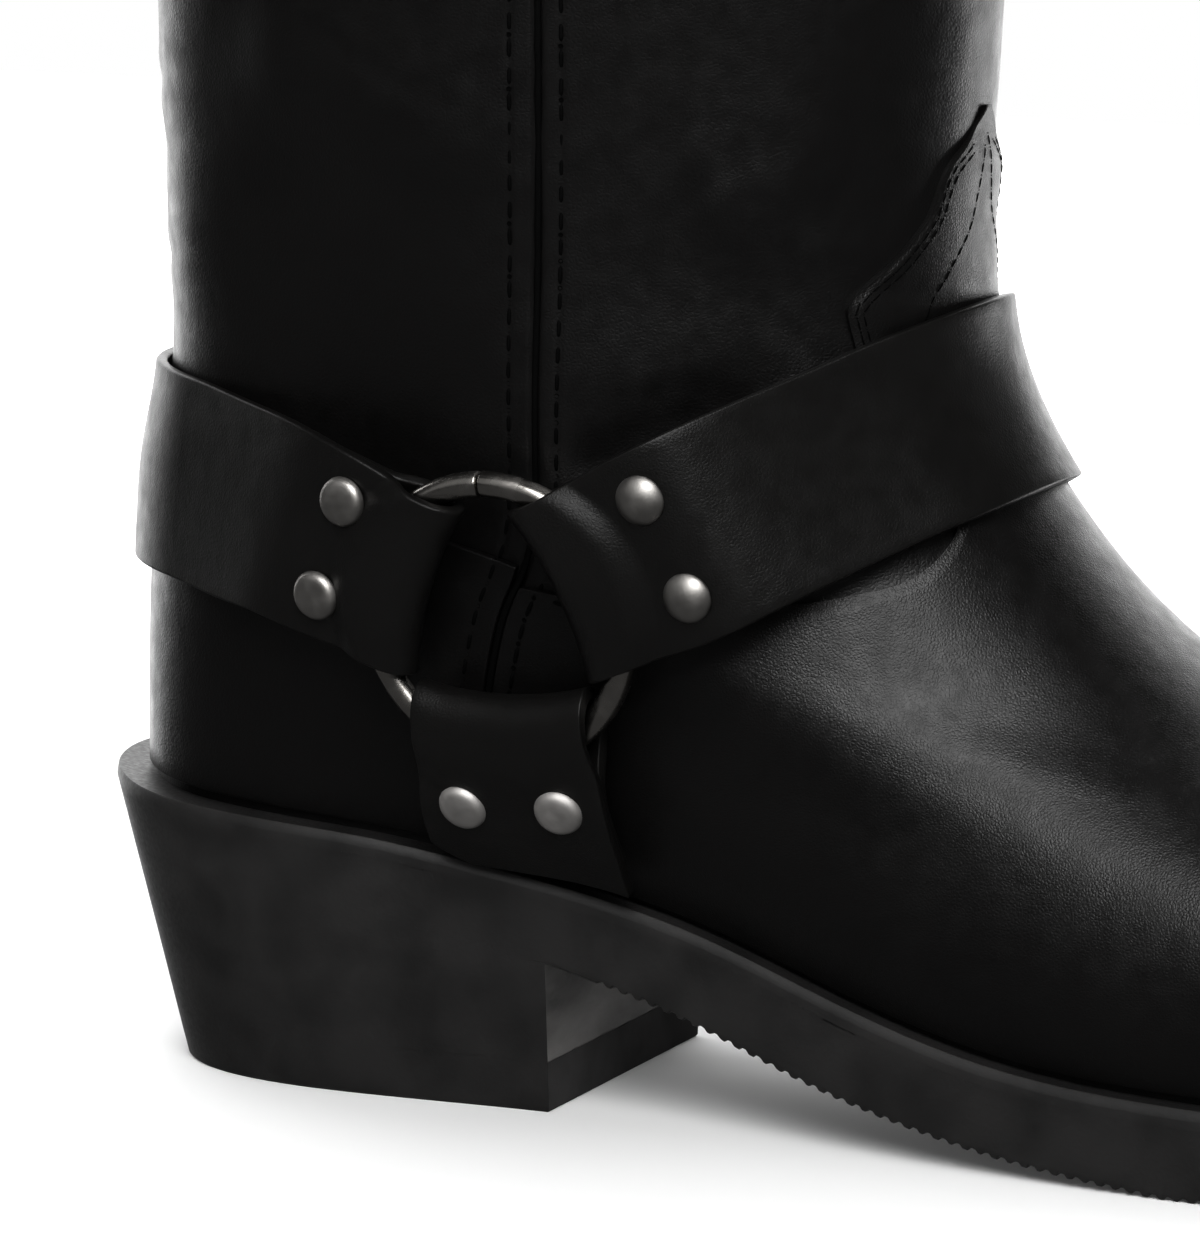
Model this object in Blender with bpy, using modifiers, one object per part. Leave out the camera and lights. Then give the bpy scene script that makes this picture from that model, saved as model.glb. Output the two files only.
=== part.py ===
"""Right biker boot: a hollow upper on a lasted form, with vamp, heel counter, harness straps, rings, rivets,
welt, outsole, heel and insole.

Metres, +Z up, +X towards the toe, lateral side at -Y. The tables are drawn from the back of the heel at x = 0,
and the parent empty then moves the middle of the heel's floor face to the origin.
"""

import math

import bmesh
import bpy
import numpy as np
from mathutils import Matrix, Vector

# Driving dimensions of the last, the shaft and the sole
LENGTH = 0.300
BALL_WIDTH = 0.100
SHAFT_HEIGHT = 0.300
HEEL_RISE = 0.0348
TOE_SPRING = 0.0122
SOLE_THICKNESS = 0.0146
WALL = 0.0022
OVERLAY = 0.0010
GAP = 0.0003
OVERLAY_GAP = 0.0004

# Welt, outsole, insole and heel
WELT_THICKNESS = 0.0030
WELT_LEDGE = 0.0055
BACK_LEDGE = 0.0018
WELT_INSIDE = 0.0100
EDGE_CHAMFER = 0.0007
INSOLE_THICKNESS = 0.0030
HEEL_BREAST = 0.0886
HEEL_RAKE = 0.235
HEEL_TAPER = 0.035
BREAST_BLEND = 0.012
LIFT_THICKNESS = 0.0085

# Side piping
PIPING_WIDTH = 0.0022
PIPING_HEIGHT = 0.0010

# Harness: rings, straps and rivets
RING_X = 0.0872
RING_Z = 0.0845
RING_RADIUS = 0.0223
RING_WIRE = 0.0021
STRAP_THICKNESS = 0.0020
STRAP_HALF = 0.0165
STRAP_HALF_AT_FOLD = 0.0151
FOLD_BOW = 0.35
STRAP_HALF_AT_WELT = 0.0174
STRAP_CLEAR = 0.0007
WIRE_CLEAR = 0.0006
WELT_CLEAR = 0.0020
FRONT_SLOPE = math.radians(25.5)
REAR_SLOPE = math.radians(20.5)
BOTTOM_LEAN = math.radians(2.0)
BOTTOM_DROOP = math.radians(4.0)
REAR_STRAP_Z = 0.1003
INNER_LAYER_END = 0.0400
LAYERS_JOIN = 0.0440
FLAT_AGAIN = 0.0580
FOLD_RAMP = (0.018, 0.034)
WELT_RAMP = (0.030, 0.045)
PINCH_FROM = 0.6 * RING_WIRE
PINCH_TO = PINCH_FROM + 0.0040
RIVET_SPREAD = 0.0085
RIVET_RADIUS = 0.0041
RIVET_HEIGHT = 0.0022
RIVET_SEAT = 1.2 * RIVET_RADIUS

# Mesh fineness
LEVEL_STEPS = np.concatenate([np.arange(0, 4, 0.5), np.linspace(4, 12, 12), np.linspace(12, 16, 4)[1:]])
OVERLAY_START = 0.12
REAR_COLUMNS = 7
FRONT_COLUMNS = 12
TONGUE_COLUMN = 7
OUTLINE_POINTS = 26
HEEL_POINTS = 14
WELD = 1e-6
HALVINGS = 36

# Sole line: x is a share of LENGTH, heel of HEEL_RISE, spring of TOE_SPRING and depth of SOLE_THICKNESS
SOLE_COLUMNS = ("x", "heel", "spring", "depth")
SOLE_LINE = np.array((
    (-0.007, 1.000, 0.000, 0.911),
    (0.040, 0.943, 0.000, 0.911),
    (0.100, 0.905, 0.000, 0.911),
    (0.150, 0.874, 0.000, 0.911),
    (0.200, 0.830, 0.000, 0.911),
    (0.247, 0.761, 0.000, 0.911),
    (0.295, 0.684, 0.000, 0.925),
    (0.389, 0.503, 0.000, 1.020),
    (0.452, 0.330, 0.000, 1.050),
    (0.513, 0.175, 0.000, 1.000),
    (0.575, 0.066, 0.000, 0.970),
    (0.633, 0.017, 0.000, 0.985),
    (0.680, 0.000, 0.000, 1.020),
    (0.790, 0.000, 0.000, 1.020),
    (0.873, 0.000, 0.148, 0.973),
    (0.960, 0.000, 0.508, 0.918),
    (1.040, 0.000, 1.000, 0.890),
))

# Loops of the upper from the feather edge to the collar. Places along x are shares of LENGTH, heights of
# SHAFT_HEIGHT, radii and half-widths of BALL_WIDTH; sag is how much of the sole's curve the loop keeps.
LOOP_COLUMNS = (
    "back_x", "back_z", "front_x", "front_z", "front_y", "sag", "back_r", "front_r",
    "lat_rear", "lat_mid", "lat_fore", "med_rear", "med_mid", "med_fore", "seam_x",
)
LOOPS = np.array((
    (0.0200, 0.159, 1.0165, 0.085, 0.060, 1.00, 0.300, 0.420, 0.285, 0.375, 0.460, 0.275, 0.265, 0.475, 0.262),
    (0.0205, 0.190, 1.0230, 0.112, 0.060, 0.95, 0.305, 0.440, 0.322, 0.415, 0.478, 0.312, 0.305, 0.497, 0.263),
    (0.0210, 0.227, 1.0200, 0.135, 0.060, 0.86, 0.310, 0.430, 0.350, 0.425, 0.475, 0.340, 0.335, 0.495, 0.265),
    (0.0220, 0.263, 0.9970, 0.153, 0.060, 0.74, 0.310, 0.290, 0.368, 0.414, 0.433, 0.355, 0.343, 0.450, 0.269),
    (0.0238, 0.298, 0.9430, 0.165, 0.060, 0.62, 0.312, 0.182, 0.378, 0.409, 0.376, 0.364, 0.347, 0.383, 0.275),
    (0.0264, 0.332, 0.8670, 0.173, 0.055, 0.52, 0.315, 0.153, 0.383, 0.410, 0.347, 0.369, 0.354, 0.341, 0.282),
    (0.0298, 0.363, 0.7770, 0.187, 0.050, 0.43, 0.320, 0.154, 0.380, 0.414, 0.346, 0.366, 0.361, 0.326, 0.290),
    (0.0325, 0.393, 0.6900, 0.210, 0.045, 0.34, 0.322, 0.190, 0.375, 0.418, 0.352, 0.362, 0.370, 0.328, 0.296),
    (0.0335, 0.423, 0.6210, 0.247, 0.040, 0.25, 0.325, 0.228, 0.370, 0.423, 0.356, 0.358, 0.382, 0.338, 0.301),
    (0.0325, 0.455, 0.5650, 0.297, 0.035, 0.16, 0.330, 0.260, 0.366, 0.429, 0.358, 0.356, 0.394, 0.343, 0.303),
    (0.0308, 0.490, 0.5230, 0.354, 0.030, 0.08, 0.335, 0.287, 0.364, 0.436, 0.363, 0.356, 0.403, 0.347, 0.304),
    (0.0288, 0.527, 0.4985, 0.415, 0.025, 0.03, 0.340, 0.300, 0.368, 0.446, 0.372, 0.361, 0.414, 0.355, 0.306),
    (0.0268, 0.567, 0.4955, 0.483, 0.020, 0.00, 0.350, 0.310, 0.376, 0.456, 0.382, 0.369, 0.426, 0.366, 0.308),
    (0.0258, 0.620, 0.5010, 0.563, 0.015, 0.00, 0.360, 0.330, 0.387, 0.468, 0.394, 0.381, 0.441, 0.380, 0.310),
    (0.0248, 0.707, 0.5060, 0.673, 0.010, 0.00, 0.375, 0.350, 0.402, 0.484, 0.408, 0.398, 0.462, 0.397, 0.311),
    (0.0225, 0.843, 0.5120, 0.830, 0.000, 0.00, 0.390, 0.370, 0.420, 0.502, 0.424, 0.417, 0.486, 0.418, 0.310),
    (0.0200, 1.000, 0.5180, 1.000, 0.000, 0.00, 0.400, 0.380, 0.430, 0.512, 0.434, 0.429, 0.502, 0.431, 0.308),
))
TOP_LEVEL = len(LOOPS) - 1

# Top edges of the overlays: share of the way from the seam to the front or the back, and level
VAMP_EDGE = np.array(((0.0, 7.2), (0.2, 7.65), (0.385, 8.4), (0.583, 9.15), (1.0, 9.6)))
TONGUE_EDGE = np.array(((0.583, 11.45), (0.75, 11.75), (0.85, 12.25), (1.0, 12.95)))
COUNTER_EDGE = np.array(((0.0, 7.2), (1.0, 4.9)))
# Levels over the counter's edge through which the rear strap drops to the upper
COUNTER_STEP = (0.2, 0.9)

# Black box-calf leather, rubber, stacked heel, metal and lining, as colour, roughness and metallic value
MATERIALS = {
    "leather": ((0.012, 0.012, 0.013), 0.42, 0.0),
    "strap": ((0.014, 0.014, 0.015), 0.45, 0.0),
    "welt": ((0.016, 0.016, 0.017), 0.50, 0.0),
    "sole": ((0.018, 0.018, 0.019), 0.62, 0.0),
    "heel": ((0.020, 0.020, 0.021), 0.60, 0.0),
    "insole": ((0.090, 0.060, 0.036), 0.80, 0.0),
    "nickel": ((0.52, 0.50, 0.47), 0.28, 1.0),
}
LATERAL, MEDIAL = "lateral", "medial"


def spline(knots, values, at):
    """Natural cubic spline through values, one row or number for each knot, read at any array of places."""
    knots, values, at = np.asarray(knots, float), np.asarray(values, float), np.asarray(at, float)
    count, step = len(knots), np.diff(knots)
    lead = (-1,) + (1,) * (values.ndim - 1)
    system = np.eye(count)
    bend = np.zeros_like(values)
    slope = np.diff(values, axis=0) / step.reshape(lead)
    for i in range(1, count - 1):
        system[i, i - 1:i + 2] = step[i - 1], 2 * (step[i - 1] + step[i]), step[i]
        bend[i] = 6 * (slope[i] - slope[i - 1])
    curve = np.linalg.solve(system, bend)
    span = np.clip(np.searchsorted(knots, at) - 1, 0, count - 2)
    tail = at.shape + (1,) * (values.ndim - 1)
    width = step[span].reshape(tail)
    right = ((at - knots[span]) / step[span]).reshape(tail)
    left = 1 - right
    bow = (left**3 - left) * curve[span] + (right**3 - right) * curve[span + 1]
    return left * values[span] + right * values[span + 1] + width**2 / 6 * bow


def smooth(value, low, high):
    """0 up to low, 1 from high on, with a soft ramp between."""
    share = np.clip((value - low) / (high - low), 0, 1)
    return share * share * (3 - 2 * share)


def sole_heights(x):
    """Height of the welt's top and of the outsole's underside at x. The underside is flat where it meets the floor."""
    row = dict(zip(SOLE_COLUMNS, np.moveaxis(spline(SOLE_LINE[:, 0] * LENGTH, SOLE_LINE, x), -1, 0)))
    seat = SOLE_THICKNESS + HEEL_RISE * row["heel"] + TOE_SPRING * row["spring"]
    return seat, np.maximum(seat - SOLE_THICKNESS * row["depth"], 0)


def loop_values(level):
    """The loop table's columns at a level, in metres."""
    row = dict(zip(LOOP_COLUMNS, np.moveaxis(spline(np.arange(len(LOOPS)), LOOPS, level), -1, 0)))
    for name in row:
        if name != "sag":
            row[name] = row[name] * (LENGTH if name.endswith("_x") else
                                     SHAFT_HEIGHT if name.endswith("_z") else BALL_WIDTH)
    return row


def surface(level, angle):
    """Points on the outside of the upper. The angle is 0 at the heel's back and pi at the toe, lateral side first."""
    level, angle = np.broadcast_arrays(np.asarray(level, float), np.asarray(angle, float))
    row = loop_values(level)
    along = (1 - np.cos(angle)) / 2
    half_length = (row["front_x"] - row["back_x"]) / 2
    lateral = np.sin(angle) >= 0
    quarter = math.sqrt(0.75)
    rear = np.where(lateral, row["lat_rear"], row["med_rear"]) / quarter
    middle = np.where(lateral, row["lat_mid"], row["med_mid"])
    fore = np.where(lateral, row["lat_fore"], row["med_fore"]) / quarter
    ends = np.sqrt(np.stack([row["back_r"], row["front_r"]]) * half_length)
    shares = spline(np.linspace(0, 1, 5), np.eye(5), along)
    reach = (shares * np.stack([ends[0], rear, middle, fore, ends[1]], axis=-1)).sum(axis=-1)
    feather = loop_values(0.0)
    seat_chord = feather["back_z"] + (feather["front_z"] - feather["back_z"]) * along
    seat, _ = sole_heights(feather["back_x"] + (feather["front_x"] - feather["back_x"]) * along)
    chord = row["back_z"] + (row["front_z"] - row["back_z"]) * along
    return np.stack([
        row["back_x"] + 2 * half_length * along,
        row["front_y"] * along**2 - np.sin(angle) * reach,
        chord + row["sag"] * (seat + 2 * GAP - seat_chord),
    ], axis=-1)


def normal(level, angle, step=1e-3):
    """Outward unit normals of the upper's surface."""
    below, above = np.clip(level - step, 0, TOP_LEVEL), np.clip(level + step, 0, TOP_LEVEL)
    up = surface(above, angle) - surface(below, angle)
    round_loop = surface(level, angle + step) - surface(level, angle - step)
    out = np.cross(round_loop, up)
    return out / np.linalg.norm(out, axis=-1, keepdims=True)


def lifted(level, angle, height):
    """Points at a height off the upper's surface."""
    return surface(level, angle) + normal(level, angle) * np.asarray(height)[..., None]


def angle_at(level, x):
    """Lateral angle at which the loop of a level passes x."""
    row = loop_values(level)
    along = np.clip((x - row["back_x"]) / (row["front_x"] - row["back_x"]), 0, 1)
    return np.arccos(1 - 2 * along)


def seam_angle(level):
    return angle_at(level, loop_values(level)["seam_x"])


def on_side(angle, side):
    return angle if side == LATERAL else 2 * math.pi - angle


def highest_level(too_low, shape):
    """Bisects for the level up to which too_low holds."""
    low, high = np.zeros(shape), np.full(shape, float(TOP_LEVEL))
    for _ in range(HALVINGS):
        middle = (low + high) / 2
        below = too_low(middle)
        low, high = np.where(below, middle, low), np.where(below, high, middle)
    return low


def locate(x, z):
    """Level and lateral angle of the point that shows at (x, z) from the side."""
    x, z = np.broadcast_arrays(np.asarray(x, float), np.asarray(z, float))
    level = highest_level(lambda trial: surface(trial, angle_at(trial, x))[..., 2] < z, x.shape)
    return level, angle_at(level, x)


def column_angle(level, share, part):
    """Angle of a grid column, as a share of the way from the side seam to the front or to the back."""
    seam = seam_angle(level)
    return seam + (math.pi - seam) * share if part == "front" else seam * (1 - share)


def clear_of_seam(level, toward):
    """Angle just past the piping on one side of the seam, toward the front (1) or the back (-1)."""
    seam = seam_angle(level)
    pace = np.linalg.norm(surface(level, seam + 1e-3) - surface(level, seam - 1e-3), axis=-1) / 2e-3
    return seam + toward * (PIPING_WIDTH / 2 + GAP) / pace


def make_material(name):
    colour, roughness, metallic = MATERIALS[name]
    material = bpy.data.materials.new(name)
    material.use_nodes = True
    shader = material.node_tree.nodes["Principled BSDF"]
    shader.inputs["Base Color"].default_value = (*colour, 1)
    shader.inputs["Roughness"].default_value = roughness
    shader.inputs["Metallic"].default_value = metallic
    return material


def add_object(name, form, material):
    """Turns a bmesh into a named, smooth-shaded object of the boot."""
    mesh = bpy.data.meshes.new(name)
    form.to_mesh(mesh)
    form.free()
    mesh.materials.append(materials[material])
    mesh.shade_smooth()
    mesh.set_sharp_from_angle(angle=math.radians(40))
    body = bpy.data.objects.new(name, mesh)
    boot.objects.link(body)
    body.parent = root
    return body


def sheet(name, material, grids, thickness, growth, ring=False):
    """Skin over grids of points, thickened inward (growth -1), outward (1) or both ways (0)."""
    form = bmesh.new()
    for grid in grids:
        rows, columns = grid.shape[:2]
        verts = [[form.verts.new(point) for point in row] for row in grid]
        for i in range(rows - 1):
            for j in range(columns if ring else columns - 1):
                k = (j + 1) % columns
                form.faces.new((verts[i][j], verts[i][k], verts[i + 1][k], verts[i + 1][j]))
    bmesh.ops.remove_doubles(form, verts=form.verts, dist=WELD)
    body = add_object(name, form, material)
    wall = body.modifiers.new("wall", "SOLIDIFY")
    wall.thickness = thickness
    wall.offset = growth
    wall.use_even_offset = True
    return body


def stack(name, material, rings, hollow=False):
    """Loft through closed rings from the bottom up. Each cap runs from the ring's first half to its second;
    a hollow stack closes on its first ring instead."""
    form = bmesh.new()
    verts = [[form.verts.new(point) for point in ring] for ring in rings]
    count = len(verts[0])
    pairs = list(zip(verts, verts[1:])) + ([(verts[-1], verts[0])] if hollow else [])
    for lower, upper in pairs:
        for j in range(count):
            k = (j + 1) % count
            form.faces.new((lower[j], lower[k], upper[k], upper[j]))
    if not hollow:
        for ring, turn in ((verts[0], -1), (verts[-1], 1)):
            i = 0
            while i + 1 <= count - i - 1:
                corners = list(dict.fromkeys((ring[i], ring[i + 1], ring[count - i - 1], ring[-i])))
                form.faces.new(corners[::turn])
                i += 1
    bmesh.ops.recalc_face_normals(form, faces=form.faces)
    return add_object(name, form, material)


def outline(outset, angle=np.arange(2 * OUTLINE_POINTS) * math.pi / OUTLINE_POINTS, depth=0.0):
    """Plan of the feather edge, moved outward and a little more at the back, from there round the lateral side.
    At a depth below the welt's top, the heel's sides have drawn in."""
    step = 1e-4
    points = surface(0.0, angle)[:, :2]
    run = surface(0.0, angle + step)[:, :2] - surface(0.0, angle - step)[:, :2]
    out = np.stack([run[:, 1], -run[:, 0]], axis=-1)
    if outset > 0:
        back = (1 + np.cos(angle)) / 2
        in_heel = 1 - smooth(points[:, 0], HEEL_BREAST, HEEL_BREAST + BREAST_BLEND)
        outset = outset + BACK_LEDGE * back**4 - depth * (HEEL_TAPER + HEEL_RAKE * back**6) * in_heel
        outset = outset[:, None]
    return points + out / np.linalg.norm(out, axis=-1, keepdims=True) * outset


def make_upper():
    levels = LEVEL_STEPS[:, None]
    rear = np.arange(REAR_COLUMNS) / REAR_COLUMNS
    front = np.arange(FRONT_COLUMNS) / FRONT_COLUMNS
    half = np.concatenate([column_angle(levels, 1 - rear, "rear"), column_angle(levels, front, "front"),
                           np.full_like(levels, math.pi)], axis=1)
    angle = np.concatenate([half, 2 * math.pi - half[:, -2:0:-1]], axis=1)
    sheet("upper", "leather", [surface(levels, angle)], WALL, -1, ring=True)


def overlay_grid(share, bottom, top, part):
    """Grid of an overlay on the upper's own rows and columns, cut at its bottom and top levels, on both sides."""
    level = np.clip(LEVEL_STEPS[:, None], bottom, top)
    angle = column_angle(level, share, part)
    if share[0] == 0:
        angle[:, 0] = clear_of_seam(level[:, 0], 1 if part == "front" else -1)
    other_side = 2 * math.pi - angle if part == "front" else -angle
    angles = (angle, other_side[:, -2::-1]) if part == "front" else (other_side, angle[:, -2::-1])
    both = np.concatenate([level, level[:, -2::-1]], axis=1)
    return lifted(both, np.concatenate(angles, axis=1), np.full_like(both, OVERLAY_GAP))


def make_vamp():
    """Vamp overlay from the side seams over the toe, with a pointed tongue up the front of the shaft."""
    share = np.arange(FRONT_COLUMNS + 1) / FRONT_COLUMNS
    edge = np.interp(share, *VAMP_EDGE.T)
    tongue = share[TONGUE_COLUMN:]
    tip = np.interp(tongue, *TONGUE_EDGE.T)
    grids = [overlay_grid(share, OVERLAY_START, edge, "front"),
             overlay_grid(tongue, edge[TONGUE_COLUMN:], tip, "front")]
    sheet("vamp", "leather", grids, OVERLAY, 1)


def make_counter():
    """Heel counter overlay between the two side seams."""
    share = np.arange(REAR_COLUMNS + 1) / REAR_COLUMNS
    edge = np.interp(share, *COUNTER_EDGE.T)
    sheet("heel_counter", "leather", [overlay_grid(share, OVERLAY_START, edge, "rear")], OVERLAY, 1)


def make_piping(side):
    """Bead in the side seam, from the welt to the collar."""
    turns = np.linspace(0, math.pi, 5)
    across = np.cos(turns) * PIPING_WIDTH / 2
    height = GAP + np.sin(turns) * PIPING_HEIGHT
    rings = []
    for level in np.maximum(LEVEL_STEPS, OVERLAY_START):
        angle = on_side(seam_angle(level), side)
        out = normal(level, angle)
        run = surface(level, angle + 1e-3) - surface(level, angle - 1e-3)
        run /= np.linalg.norm(run)
        rings.append(surface(level, angle) + across[:, None] * run + height[:, None] * out)
    stack(f"side_piping_{side}", "leather", rings)


def make_sole():
    """Welt ring, outsole and insole, all on the sole line."""
    def ring_at(plan, rise, under=False):
        seat, floor = sole_heights(plan[:, 0])
        return np.column_stack([plan, (floor if under else seat) + rise])

    inner, softened = outline(-WELT_INSIDE), outline(WELT_LEDGE - EDGE_CHAMFER)
    welt = [ring_at(outline(WELT_LEDGE, depth=WELT_THICKNESS), -WELT_THICKNESS),
            ring_at(outline(WELT_LEDGE, depth=EDGE_CHAMFER), -EDGE_CHAMFER), ring_at(softened, 0),
            ring_at(inner, 0), ring_at(inner, -WELT_THICKNESS)]
    stack("welt", "welt", welt, hollow=True)

    top = WELT_THICKNESS + GAP
    seat, under = sole_heights(0.0)
    outsole = [ring_at(outline(WELT_LEDGE - EDGE_CHAMFER, depth=seat - under), 0, under=True),
               ring_at(outline(WELT_LEDGE, depth=seat - under - EDGE_CHAMFER), EDGE_CHAMFER, under=True),
               ring_at(outline(WELT_LEDGE, depth=top + EDGE_CHAMFER), -top - EDGE_CHAMFER),
               ring_at(outline(WELT_LEDGE - EDGE_CHAMFER, depth=top), -top)]
    stack("outsole", "sole", outsole)

    inside = outline(-WALL - 3 * GAP)
    stack("insole", "insole", [ring_at(inside, GAP), ring_at(inside, GAP + INSOLE_THICKNESS)])


def heel_ring(height):
    """Ring round the heel at a height over the floor, or just under the outsole where that is lower."""
    angle = np.linspace(0, math.pi, 721)
    sides = []
    for turn in (1, -1):
        plan = outline(WELT_LEDGE, turn * angle)
        for _ in range(3):
            seat, under = sole_heights(plan[:, 0])
            level = np.minimum(height, under - GAP)
            plan = outline(WELT_LEDGE, turn * angle, seat - level)
        corner = np.interp(HEEL_BREAST, plan[:, 0], angle)
        chosen = np.linspace(0, 1, HEEL_POINTS) * corner
        sides.append(np.column_stack([np.interp(chosen, angle, values) for values in (*plan.T, level)]))
    return np.concatenate([sides[0], sides[1][:0:-1]])


def make_heel():
    """Stacked heel block under the outsole, flush with its side, and its top lift on the floor."""
    stack("heel_block", "heel", [heel_ring(LIFT_THICKNESS + GAP), heel_ring(HEEL_RISE + SOLE_THICKNESS)])
    stack("heel_top_lift", "heel", [heel_ring(0.0), heel_ring(LIFT_THICKNESS)])


OVERLAID = OVERLAY_GAP + OVERLAY + STRAP_CLEAR
LAYER = STRAP_THICKNESS + GAP
WRAP = RING_WIRE + WIRE_CLEAR + STRAP_THICKNESS / 2
ACROSS = np.linspace(-1, 1, 5)


def rear_line(x):
    """Height of the rear strap's middle line, level at the back of the heel."""
    back = loop_values(5.0)["back_x"]
    return REAR_STRAP_Z - (REAR_STRAP_Z - RING_Z) * ((x - back) / (RING_X - back)) ** 2


def front_line(x):
    return RING_Z + math.tan(FRONT_SLOPE) * (x - RING_X)


# Each strap's middle line, its direction from the ring, and the distances of its rivets and of its bend
STRAPS = {
    "front": {"line": front_line, "run": (math.cos(FRONT_SLOPE), math.sin(FRONT_SLOPE)),
              "rivets": 0.0340, "bend": (0.0360, 0.0560)},
    "rear": {"line": rear_line, "run": (-math.cos(REAR_SLOPE), math.sin(REAR_SLOPE)),
             "rivets": 0.0297, "bend": (0.0330, 0.0530)},
    "bottom": {"line": None, "run": (math.sin(BOTTOM_LEAN), -math.cos(BOTTOM_LEAN)),
               "rivets": 0.0305, "bend": (0.0285, 0.0450)},
}


def ring_frame(side):
    """Centre and outward axis of a harness ring, standing off the ankle's highest spot by one strap layer."""
    reach = RING_RADIUS + STRAP_HALF_AT_FOLD
    level, angle = locate(RING_X + np.array([0, reach, -reach, 0, 0]), RING_Z + np.array([0, 0, 0, reach, -reach]) / 2)
    centre, front, back, top, bottom = surface(level, on_side(angle, side))
    out = np.cross(front - back, top - bottom)
    out *= np.sign(out[1] * centre[1]) / np.linalg.norm(out)
    spot_x, spot_z = np.meshgrid(np.linspace(-reach, reach, 9), np.linspace(-reach, reach, 9) / 2)
    level, angle = locate(RING_X + spot_x, RING_Z + spot_z)
    stand = ((surface(level, on_side(angle, side)) - centre) @ out).max()
    return centre + out * (stand + OVERLAID + STRAP_THICKNESS + WIRE_CLEAR + RING_WIRE), out


def half_width(strap, distance):
    width = STRAP_HALF_AT_FOLD + (STRAP_HALF - STRAP_HALF_AT_FOLD) * smooth(distance, *FOLD_RAMP)
    if strap == "bottom":
        width = width + (STRAP_HALF_AT_WELT - STRAP_HALF) * smooth(distance, *WELT_RAMP)
    return width


def strap_bed(strap, level, angle):
    """Height off the upper at which a strap lies: over the overlays, and lower above the heel counter's edge."""
    if strap != "rear":
        return np.full_like(level, OVERLAID)
    edge = np.interp(1 - angle / seam_angle(level), *COUNTER_EDGE.T)
    return STRAP_CLEAR + (OVERLAID - STRAP_CLEAR) * (1 - smooth(level - edge, *COUNTER_STEP))


def side_view(strap, distance, offset):
    """Place in the side view at a distance from the ring's centre and an offset across the strap."""
    run_x, run_z = STRAPS[strap]["run"]
    line = STRAPS[strap]["line"]
    if line is None:
        return RING_X + run_x * distance + offset, RING_Z + run_z * distance
    x = RING_X + run_x * distance
    slope = np.arctan((line(x + 1e-4) - line(x - 1e-4)) / 2e-4)
    return x - np.sin(slope) * offset, line(x) + np.cos(slope) * offset


def strap_point(strap, side, distance, offset, layer):
    """Middle of a strap's layer, 0 under the ring and 1 over it. The two part round the wire, meet at the rivets
    in the ring's plane, and then lie along the boot."""
    centre, out = ring_frame(side)
    run_x, run_z = STRAPS[strap]["run"]
    run = np.array([run_x, 0, run_z])
    run -= out * run.dot(out)
    run /= np.linalg.norm(run)
    cross = np.array([1.0, 0, 0]) if strap == "bottom" else np.array([0, 0, 1.0])
    cross -= out * cross.dot(out) + run * cross.dot(run)
    cross /= np.linalg.norm(cross)
    flat = centre + distance[..., None] * run + offset[..., None] * cross
    level, angle = locate(*side_view(strap, distance, offset))
    bed = strap_bed(strap, level, angle)
    angle = on_side(angle, side)
    doubled = 1 - smooth(distance, LAYERS_JOIN, FLAT_AGAIN)
    laid = lifted(level, angle, bed + (STRAP_THICKNESS + LAYER * doubled) / 2)
    share = smooth(distance, *STRAPS[strap]["bend"])[..., None]
    past_wire = distance - np.sqrt(RING_RADIUS**2 - offset**2)
    apart = LAYER / 2 + (WRAP - LAYER / 2) * (1 - smooth(past_wire, PINCH_FROM, PINCH_TO))
    away = out * (1 - share) + normal(level, angle) * share
    return flat * (1 - share) + laid * share + away * (doubled * apart * (2 * layer - 1))[..., None]


def strap_end(strap, side, reach):
    """Columns of a strap's end: the layer under the ring, the fold round its wire, and the layer over it."""
    fold = ACROSS * STRAP_HALF_AT_FOLD
    wire = np.sqrt(RING_RADIUS**2 - fold**2)
    crease = wire.min() + FOLD_BOW * (wire - wire.min())
    pinch = [wire + PINCH_FROM, wire + (PINCH_FROM + PINCH_TO) / 2, wire + PINCH_TO]

    def columns_at(distances, layer):
        return [strap_point(strap, side, place, ACROSS * half_width(strap, place), layer) for place in distances]

    columns = columns_at([np.full_like(wire, INNER_LAYER_END), *pinch[::-1]], 0)
    under = strap_point(strap, side, crease, fold, 0)
    over = strap_point(strap, side, crease, fold, 1)
    middle, rise = (under + over) / 2, (over - under) / 2
    inward = strap_point(strap, side, crease - 0.001, fold, 0) - under
    inward /= np.linalg.norm(inward, axis=-1, keepdims=True)
    depth = WRAP * RING_RADIUS / wire.min()
    for turn in np.linspace(-math.pi / 2, math.pi / 2, 7):
        columns.append(middle + rise * math.sin(turn) + inward * depth * math.cos(turn))
    rest = [pinch[-1] + (reach - pinch[-1]) * share for share in np.linspace(0, 1, 6)]
    return columns + columns_at([*pinch[:-1], *rest], 1)


def strap_rest(strap, side, count):
    """Columns of a strap from where it lies flat to the middle of the front or the back."""
    offset = ACROSS * STRAP_HALF
    line = STRAPS[strap]["line"]
    _, start = locate(*side_view(strap, np.full_like(offset, FLAT_AGAIN), offset))
    goal = math.pi if strap == "front" else 0.0

    def below(level, angle):
        point = surface(level, angle)
        slope = np.arctan((line(point[..., 0] + 1e-4) - line(point[..., 0] - 1e-4)) / 2e-4)
        return (point[..., 2] - line(point[..., 0])) * np.cos(slope) < offset

    columns = []
    for share in np.linspace(0, 1, count + 1)[1:]:
        angle = start + (goal - start) * share
        level = highest_level(lambda trial: below(trial, angle), offset.shape)
        height = strap_bed(strap, level, angle) + STRAP_THICKNESS / 2
        columns.append(lifted(level, on_side(angle, side), height))
    return columns


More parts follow.
